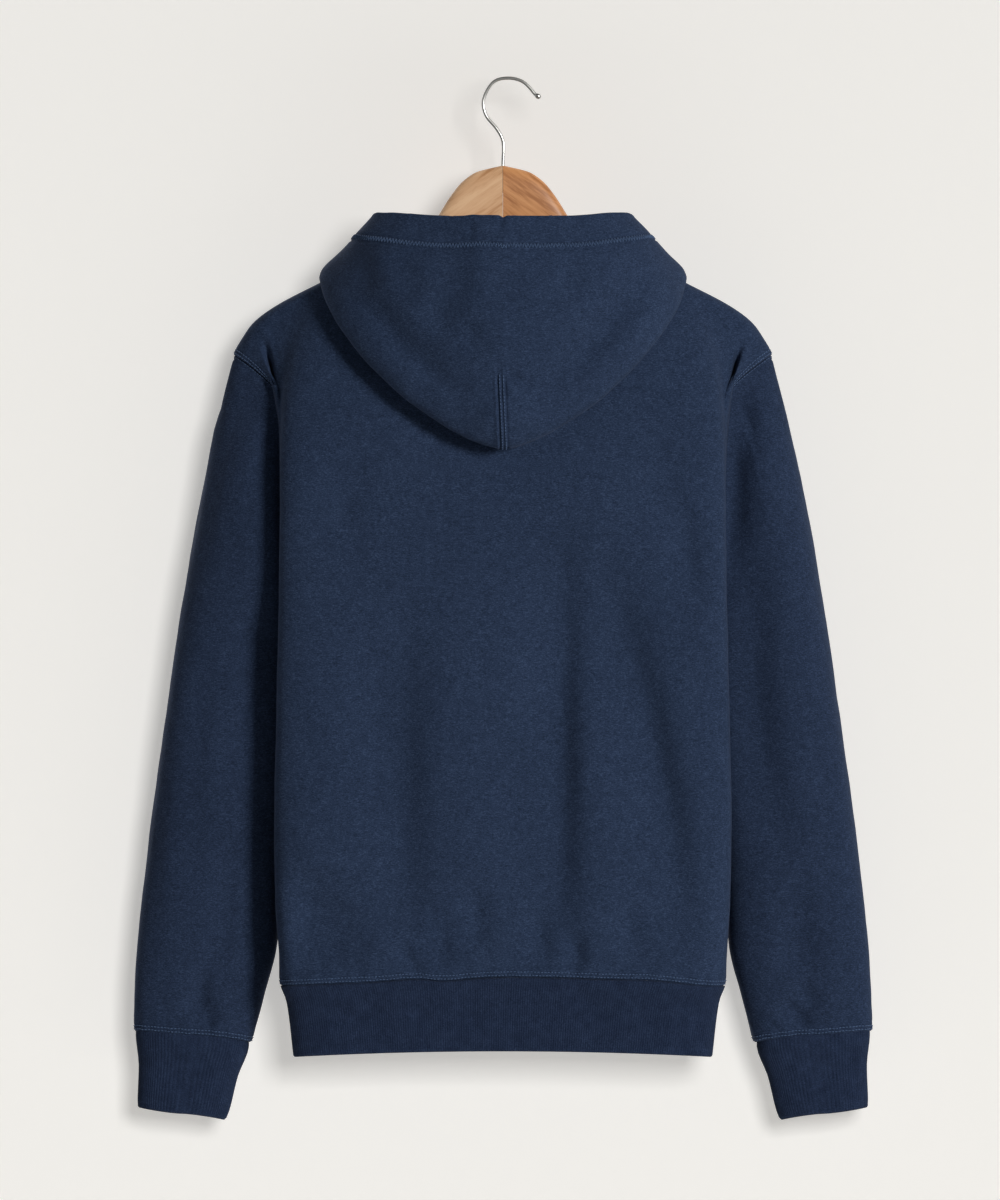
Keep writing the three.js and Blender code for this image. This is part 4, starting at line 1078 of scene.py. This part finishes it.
# columns of the hood lie closer at its middle seam, where turn is 2
half_turns = np.concatenate((np.linspace(0, 1.7, 66), 2 - 0.3 * np.linspace(1, 0, 50)[1:] ** 1.25))
hood_columns = [(turn, -1) for turn in half_turns] + [(turn, 1) for turn in half_turns[-2::-1]]
corners = np.array([hood_profile(turn, mirror) for turn, mirror in hood_columns]).swapaxes(0, 1)
hood = spline(corners, HOOD_STEPS)
smooth_inside(hood, HOOD_SMOOTHING)
OUTER_FROM = sum(HOOD_STEPS[:7])
rim_rows = hood.shape[0]
hood_x, hood_z = hood[:, :, 0], hood[:, :, 2]
outside = (np.arange(rim_rows) >= OUTER_FROM).astype(float)[:, None]
behind = outside * np.clip((hood[:, :, 1] + 10) / 30, 0, 1)
sunk = crease_depth(CREASES["hood"], hood_x, hood_z) * behind
sunk += waves(hood, HOOD_WAVES, HOOD_SEED) * outside

# The short dart at the crown: its seam is a groove with a soft ridge to its left, and twin rows
# of stitches run to its right
DART_TOP_Z = -249.6
DART_BOTTOM_Z = -317
DART_TOP_X = 1.5
DART_BOTTOM_X = -1.5
DART_ROWS = (1.5, -1.5)
# offset, half width and depth of what runs along the dart
DART_FORM = ((3.3, 1.0, 1.8), (-3.3, 0.9, 1.2), (5.4, 1.5, -0.8), (0.0, 0.7, 0.8))


def dart_x(z):
    return lerp(DART_TOP_X, DART_BOTTOM_X, (z - DART_TOP_Z) / (DART_BOTTOM_Z - DART_TOP_Z))


in_dart = np.clip((DART_TOP_Z - hood_z) / 3, 0, 1) * behind
for offset, width, depth in DART_FORM:
    sunk += in_dart * depth * np.exp(-(((hood_x - dart_x(hood_z) - offset) / width) ** 2))

# The hem of the rim, held by a coverstitch between two grooves
COVER_HALF = 3.1
COVER_GROOVE = 0.8
from_rim = distance_from(hood, "bottom")
for line in (RIM_HEM - COVER_HALF, RIM_HEM + COVER_HALF):
    sunk += COVER_GROOVE * np.exp(-(((from_rim - line) / STITCH_GROOVE) ** 2)) * outside
hood -= normals_of(hood) * sunk[:, :, None]

# The rim dips in a small notch at its middle seam and is a little uneven
notch = 1.6 * np.exp(-((hood_x / 2.2) ** 2)) * np.exp(-((from_rim / 4) ** 2))
hood[:, :, 2] -= (notch - 0.6 * unevenness(hood, 21, RIM_SEED) * np.exp(-((from_rim / 9) ** 2))) * outside


def fold_rim(points):
    """Turns the rim over to the inside and carries its hem down there."""
    out = normals_of(points)[-1]
    up = points[-1] - points[-2]
    up = up / np.linalg.norm(up, axis=1, keepdims=True)
    centre = points[-1] - out * RIM_TURN
    rows = [
        centre + out * RIM_TURN * math.cos(math.radians(angle)) + up * RIM_TURN * math.sin(math.radians(angle))
        for angle in RIM_ARC
    ]
    rows += [rows[-1] + (points[-1] - up * down - points[-1]) for down in HEM_DOWN]
    return np.concatenate((points, np.array(rows)))


hood_cloth = grid_mesh("hood_cloth", fold_rim(hood))
give_wall(hood_cloth, FLEECE)
finish_piece(hood_cloth, fleece, ["hood"])

# Ribbed hem and cuffs
RIB_POINTS = 6  # round one rib
BAND_LEVELS = np.concatenate((np.linspace(0, 0.08, 3), np.linspace(0.16, 0.97, 10)))
BAND_TURN = (20, 55, 90, 125, 160)
BAND_INSIDE = (0.85, 0.6, 0.3, 0.03)


def hem_outline(level, steps):
    """The hem's outline once round, anticlockwise from the wearer's left side seam."""
    share = np.linspace(0, 1, steps)
    middle_z = lerp(HEM_SEAM_Z, HEM_BOTTOM_Z, level)

    def place(side, z):
        section = half_section(z)
        path = section["front"]
        if side == "back":
            path = np.concatenate((section["back"], section["fold"][1:]))
        return point_along(path, share)

    def quarter(side, mirror):
        """A quarter of the band from its middle to the side seam."""
        x = mirror * place(side, middle_z)[:, 0]
        z = lerp(seam_line(side, x), hem_line(HEM_BOTTOM_Z, HEM_BOTTOM_DROP, x), level)
        heights = np.linspace(z.min(), z.max(), 5)
        layers = np.array([place(side, at) for at in heights])
        flat = [[np.interp(z[i], heights, layers[:, i, axis]) for axis in (0, 1)] for i in range(steps)]
        return np.concatenate((np.array(flat) * (mirror, 1), z[:, None]), axis=1)

    return np.concatenate((
        quarter("back", 1)[::-1][:-1],
        quarter("back", -1)[:-1],
        quarter("front", -1)[::-1][:-1],
        quarter("front", 1)[:-1],
    ))


def round_outline(points, count):
    """Even steps round a closed outline."""
    looped = np.concatenate((points, points[:1]))
    return point_along(looped, np.arange(count) / count)


def flat_outwards(outline):
    along = np.roll(outline, -1, axis=0) - np.roll(outline, 1, axis=0)
    out = np.stack((along[:, 1], -along[:, 0], 0 * along[:, 0]), axis=1)
    return out / np.linalg.norm(out, axis=1, keepdims=True)


def ribbed_band(outlines, ribs):
    """A doubled band: ribs outside, a fold at its bottom and a plain inner layer."""
    count = len(outlines(0))
    rib = 2 * np.sqrt(np.abs(np.sin(math.pi * (np.arange(count) + 0.5) / RIB_POINTS))) - 1
    half = RIB_KNIT / 2
    rows = []
    for level in BAND_LEVELS:
        outline = outlines(level)
        relief = RIB_RELIEF * (rib - 1) / 2 * np.clip(level / 0.03, 0.35, 1)
        rows.append(outline + flat_outwards(outline) * relief[:, None])
    bottom = outlines(1)
    out = flat_outwards(bottom)
    for angle in BAND_TURN:
        turn = math.radians(angle)
        relief = RIB_RELIEF * (rib - 1) / 2 * max(math.cos(turn / 2), 0)
        lift = half * (1 - math.sin(turn))
        rows.append(bottom + out * (half * (math.cos(turn) - 1) + relief)[:, None] + np.array((0, 0, lift)))
    for level in BAND_INSIDE:
        outline = outlines(level)
        rows.append(outline - flat_outwards(outline) * RIB_KNIT)
    return np.array(rows)


hem_cache = {}


def hem_outlines(level):
    if level not in hem_cache:
        hem_cache[level] = round_outline(hem_outline(level, 160), HEM_RIBS * RIB_POINTS)
    return hem_cache[level]


CUFF_Y = -38


def cuff_outlines(mirror):
    count = CUFF_RIBS * RIB_POINTS
    angle = mirror * 2 * math.pi * np.arange(count) / count

    def read(level):
        s = cuff_sections(level)
        inwards = (1 - np.cos(angle)) / 2
        z = lerp(s.out_z, s.in_z, inwards ** lerp(CUFF_SEAM_CURVE, 1, level))
        return oval(s, mirror, angle, z, CUFF_Y)

    return read


def crease_band(band, creases, mid_y):
    """Presses soft creases into both layers of a band's back."""
    behind = np.clip((band[:, :, 1] - mid_y) / 10, 0, 1)
    band[:, :, 1] -= crease_depth(creases, band[:, :, 0], band[:, :, 2]) * behind
    return band


hem = crease_band(ribbed_band(hem_outlines, HEM_RIBS), CREASES["hem"], 0)
hem_piece = grid_mesh("hem_rib", hem, closed_across=True, closed_down=True)
finish_piece(hem_piece, rib_knit, ["hem_band"])
for name, mirror in (("left", 1), ("right", -1)):
    cuff = crease_band(ribbed_band(cuff_outlines(mirror), CUFF_RIBS), CREASES[f"{name}_cuff"], CUFF_Y)
    piece = grid_mesh(f"{name}_cuff", cuff, closed_across=True, closed_down=True)
    finish_piece(piece, rib_knit, [f"cuff_{name}"])

# Sewing
TOPSTITCH = {"pitch": 2.9, "length": 2.8, "thickness": 0.95}
FINE_STITCH = {"pitch": 2.9, "length": 2.7, "thickness": 0.7}
LOOP_SLANT = math.radians(74)
COVERSTITCH = {"pitch": 1.5, "length": 5.4, "thickness": 0.8, "slants": (LOOP_SLANT, -LOOP_SLANT)}


def sewn(points, edge, distances, closed=False, stitch=TOPSTITCH, part=slice(None)):
    normals = normals_of(points, closed)
    if closed:
        points = np.concatenate((points, points[:, :1]), axis=1)
        normals = np.concatenate((normals, normals[:, :1]), axis=1)
    rows = []
    for distance in distances:
        line, outwards = line_beside(points, normals, edge, distance)
        rows.append({"line": line[part], "outwards": outwards[part], **stitch})
    return rows


stitched("hem_stitches_back", sewn(back, "bottom", STITCH_LINES), thread)
stitched("hem_stitches_front", sewn(front, "bottom", STITCH_LINES), thread)
for name, back_edge, front_edge in (("left", "first", "last"), ("right", "last", "first")):
    yoke_back, yoke_front = back[: YOKE_STEPS + 1], front[: FRONT_YOKE_STEPS + 1]
    stitched(
        f"{name}_armhole_stitches",
        sewn(yoke_back, back_edge, STITCH_LINES) + sewn(yoke_front, front_edge, STITCH_LINES),
        thread,
    )
    sleeve_rows = sewn(sleeves[name], "top", (SLEEVE_STITCH_LINE,), closed=True, stitch=FINE_STITCH)
    cuff_rows = sewn(sleeves[name], "bottom", STITCH_LINES, closed=True)
    stitched(f"{name}_sleeve_stitches", sleeve_rows, thread)
    stitched(f"{name}_cuff_stitches", cuff_rows, thread)
stitched("hood_coverstitch", sewn(hood, "bottom", (RIM_HEM,), stitch=COVERSTITCH), thread)
BESIDE_DART = 45  # columns to either side of the middle
middle_column = hood.shape[1] // 2
near_dart = slice(middle_column - BESIDE_DART, middle_column + BESIDE_DART + 1)
dart_cloth, dart_normals = hood[OUTER_FROM - 3 :, near_dart], normals_of(hood)[OUTER_FROM - 3 :, near_dart]
dart_rows = []
for offset in DART_ROWS:
    line, outwards = [], []
    for places, normals in zip(dart_cloth, dart_normals):
        z = places[BESIDE_DART, 2]
        if z < DART_TOP_Z:
            for grid, found in ((places, line), (normals, outwards)):
                found.append(read_at(dart_x(z) + offset, places[:, 0], grid))
    dart_rows.append({"line": np.array(line), "outwards": np.array(outwards), **TOPSTITCH})
stitched("hood_dart_stitches", dart_rows, thread)

# Hanger
ARM_SIDES = 48
ARM_STEP_COUNT = 90
ARM_SPACING = 0.92  # below 1 the sections lie closer at the outer end
ARM_SQUARENESS = 2.4


def hanger_arm(name, mirror, material):
    """Half of the wooden hanger, closed at both ends."""
    along = np.linspace(0, 1, ARM_STEP_COUNT) ** ARM_SPACING
    rows = []
    across, up = squared(2 * math.pi * (np.arange(ARM_SIDES) + 0.5) / ARM_SIDES, ARM_SQUARENESS)
    for x in lerp(WOOD_GAP / 2, HANGER_END, along):
        s = arm_sections(x)
        crest_y, crest_z = ridge(x)
        top = crest_z - FLEECE - HANGER_PLAY + s.hump
        half = (top - s.bottom) / 2
        middle = (top + s.bottom) / 2
        rows.append(np.stack((mirror * x + 0 * up, crest_y + across * s.thick / 2, middle + up * half), axis=1))
    rows = np.array(rows)
    if mirror > 0:
        rows = rows[:, ::-1]
    piece = grid_mesh(f"{name}_arm", rows, closed_across=True, cap=True)
    return finish_piece(piece, material, [f"hanger_arm_{'left' if mirror > 0 else 'right'}"])


hanger_arm("light", 1, light_wood)
hanger_arm("dark", -1, dark_wood)

WIRE_SIDES = 20
HOOK_STEPS = (8,) * (len(HOOK_LINE) - 1)
BALL_RADIUS = 2.4
BALL_LENGTH = 6.0


def hook():
    """The wire hook with its small ball."""
    line = spline(np.array(HOOK_LINE, float)[:, None, :], HOOK_STEPS)[:, 0]
    line = np.stack((line[:, 0], 0 * line[:, 0], line[:, 1]), axis=1)
    lengths = lengths_along(line)
    from_end = lengths[-1] - lengths
    tangents = np.gradient(line, axis=0)
    tangents /= np.linalg.norm(tangents, axis=1, keepdims=True)
    angle = 2 * math.pi * np.arange(WIRE_SIDES) / WIRE_SIDES
    across = np.array((0, 1, 0))
    rows = []
    shares = list(np.linspace(0, lengths[-1] - BALL_LENGTH, 90))
    shares += list(lengths[-1] - BALL_LENGTH * (1 + np.cos(np.linspace(0.35, math.pi - 0.3, 12))) / 2)
    for at in shares:
        place = read_at(at, lengths, line)
        up = unit(np.cross(across, read_at(at, lengths, tangents)))
        inside = (lengths[-1] - at) / BALL_LENGTH * 2 - 1
        ball = BALL_RADIUS * math.sqrt(max(1 - inside**2, 0)) if abs(inside) < 1 else 0
        radius = ball if at > lengths[-1] - BALL_LENGTH / 2 else max(ball, WIRE_RADIUS)
        rows.append(place + radius * (np.outer(np.cos(angle), across) + np.outer(np.sin(angle), up)))
    piece = grid_mesh("wire_hook", np.array(rows), closed_across=True, cap=True)
    return finish_piece(piece, steel, ["hanger_hook"])


hook()

# Wall, floor, light and camera
WALL_Y = -0.112
FLOOR_Z = -3.0
STUDIO = 4.0  # half width of the wall and the floor
WALL_GLOW = 0.48  # the share of the wall's brightness that no shadow takes away


def plaster(name, tone):
    """Pale matt plaster."""
    shader = Shader(name, Roughness=0.95, Specular_IOR_Level=0.0)
    grain = shader.noise(shader.place(), 2.5, 3, 0.5)
    paint = shader.mix(shader.steps(grain, 0.3, 0.7), colour(*tone), colour(*(c + 1 for c in tone)))
    shader.set("Base Color", paint)
    return shader


def lit_wall(tone):
    """The wall seems evenly lit, and can't be seen from behind it."""
    shader = plaster("wall plaster", tone)
    shader.surface.inputs["Emission Color"].default_value = colour(*tone)
    shader.surface.inputs["Emission Strength"].default_value = WALL_GLOW
    behind = shader.node("ShaderNodeNewGeometry", {}, {}, "Backfacing")
    clear = shader.node("ShaderNodeBsdfTransparent", {}, {})
    shader.show(shader.node("ShaderNodeMixShader", {}, {0: behind, 1: shader.face, 2: clear}))
    return shader


def flat_stage(name, shader, matrix):
    bm = bmesh.new()
    bmesh.ops.create_grid(bm, x_segments=1, y_segments=1, size=STUDIO, matrix=matrix)
    piece = object_of(bm, name)
    piece.data.materials.append(shader.material)
    return piece


wall_turn = Matrix.Rotation(math.radians(-90), 4, "X")
wall = flat_stage("wall", lit_wall((236, 234, 230)), Matrix.Translation((0, WALL_Y, 0)) @ wall_turn)
wall.visible_shadow = False
flat_stage("floor", plaster("floor", (232, 231, 228)), Matrix.Translation((0, 0, FLOOR_Z)))

AIM = (0, 0, -0.45)


def lights_on(name, state):
    """A collection that says how a lamp treats the wall: INCLUDE for the wall alone, or EXCLUDE."""
    group = bpy.data.collections.new(name)
    group.objects.link(wall)
    group.collection_objects[0].light_linking.link_state = state
    return group


# The wall has a lamp of its own, so that the garment leaves one soft shadow close beside it
ON_WALL = lights_on("the wall alone", "INCLUDE")
ON_GARMENT = lights_on("all but the wall", "EXCLUDE")


def area_light(name, place, size, power, receivers, tint=(1, 1, 1)):
    data = bpy.data.lights.new(name, "AREA")
    data.shape = "SQUARE"
    data.size = size
    data.energy = power
    data.color = tint
    lamp = bpy.data.objects.new(name, data)
    lamp.location = place
    lamp.rotation_euler = (Vector(AIM) - Vector(place)).to_track_quat("-Z", "Y").to_euler()
    lamp.light_linking.receiver_collection = receivers
    bpy.context.scene.collection.objects.link(lamp)


area_light("wall light", (-3.0, 20.0, 1.75), 3.6, 1690, ON_WALL)
area_light("key light", (-5.92, 7.88, 1.3), 2.2, 750, ON_GARMENT, (1, 0.985, 0.96))
area_light("soft light", (0.4, 5.0, 0.6), 2.5, 8, ON_GARMENT)
area_light("fill light", (3.0, 2.6, 0.3), 1.5, 7, ON_GARMENT)
area_light("front light", (0.8, -2.8, 0.8), 2.0, 26, ON_GARMENT)

world = bpy.data.worlds.new("studio")
world.use_nodes = True
bpy.context.scene.world = world
PALE = (0.86, 0.86, 0.85, 1)
AROUND = 0.035  # how much light comes from all round
sky = Nodes(world.node_tree, "ShaderNodeOutputWorld")
seen = sky.node("ShaderNodeLightPath", {}, {}, "Is Camera Ray")
sky.show(sky.node("ShaderNodeBackground", {}, {"Color": PALE, "Strength": AROUND + seen * (1 - AROUND)}))
bpy.context.scene.view_settings.view_transform = "Standard"

FRAME_HEIGHT = 1.02  # what the picture shows at the garment, in metres
FRAME_CENTRE = (0.0024, -0.4424)
CAMERA_DISTANCE = 40.0
GARMENT_Y = 0.02  # the plane that the picture's scale is true for
SENSOR = 24.0
camera_data = bpy.data.cameras.new("camera")
camera_data.sensor_fit = "VERTICAL"
camera_data.sensor_height = SENSOR
camera_data.lens = SENSOR * (CAMERA_DISTANCE - GARMENT_Y) / FRAME_HEIGHT
camera_data.clip_end = 100
camera = bpy.data.objects.new("camera", camera_data)
camera.location = (FRAME_CENTRE[0], CAMERA_DISTANCE, FRAME_CENTRE[1])
camera.rotation_euler = (math.radians(90), 0, math.radians(180))
bpy.context.scene.collection.objects.link(camera)
bpy.context.scene.camera = camera
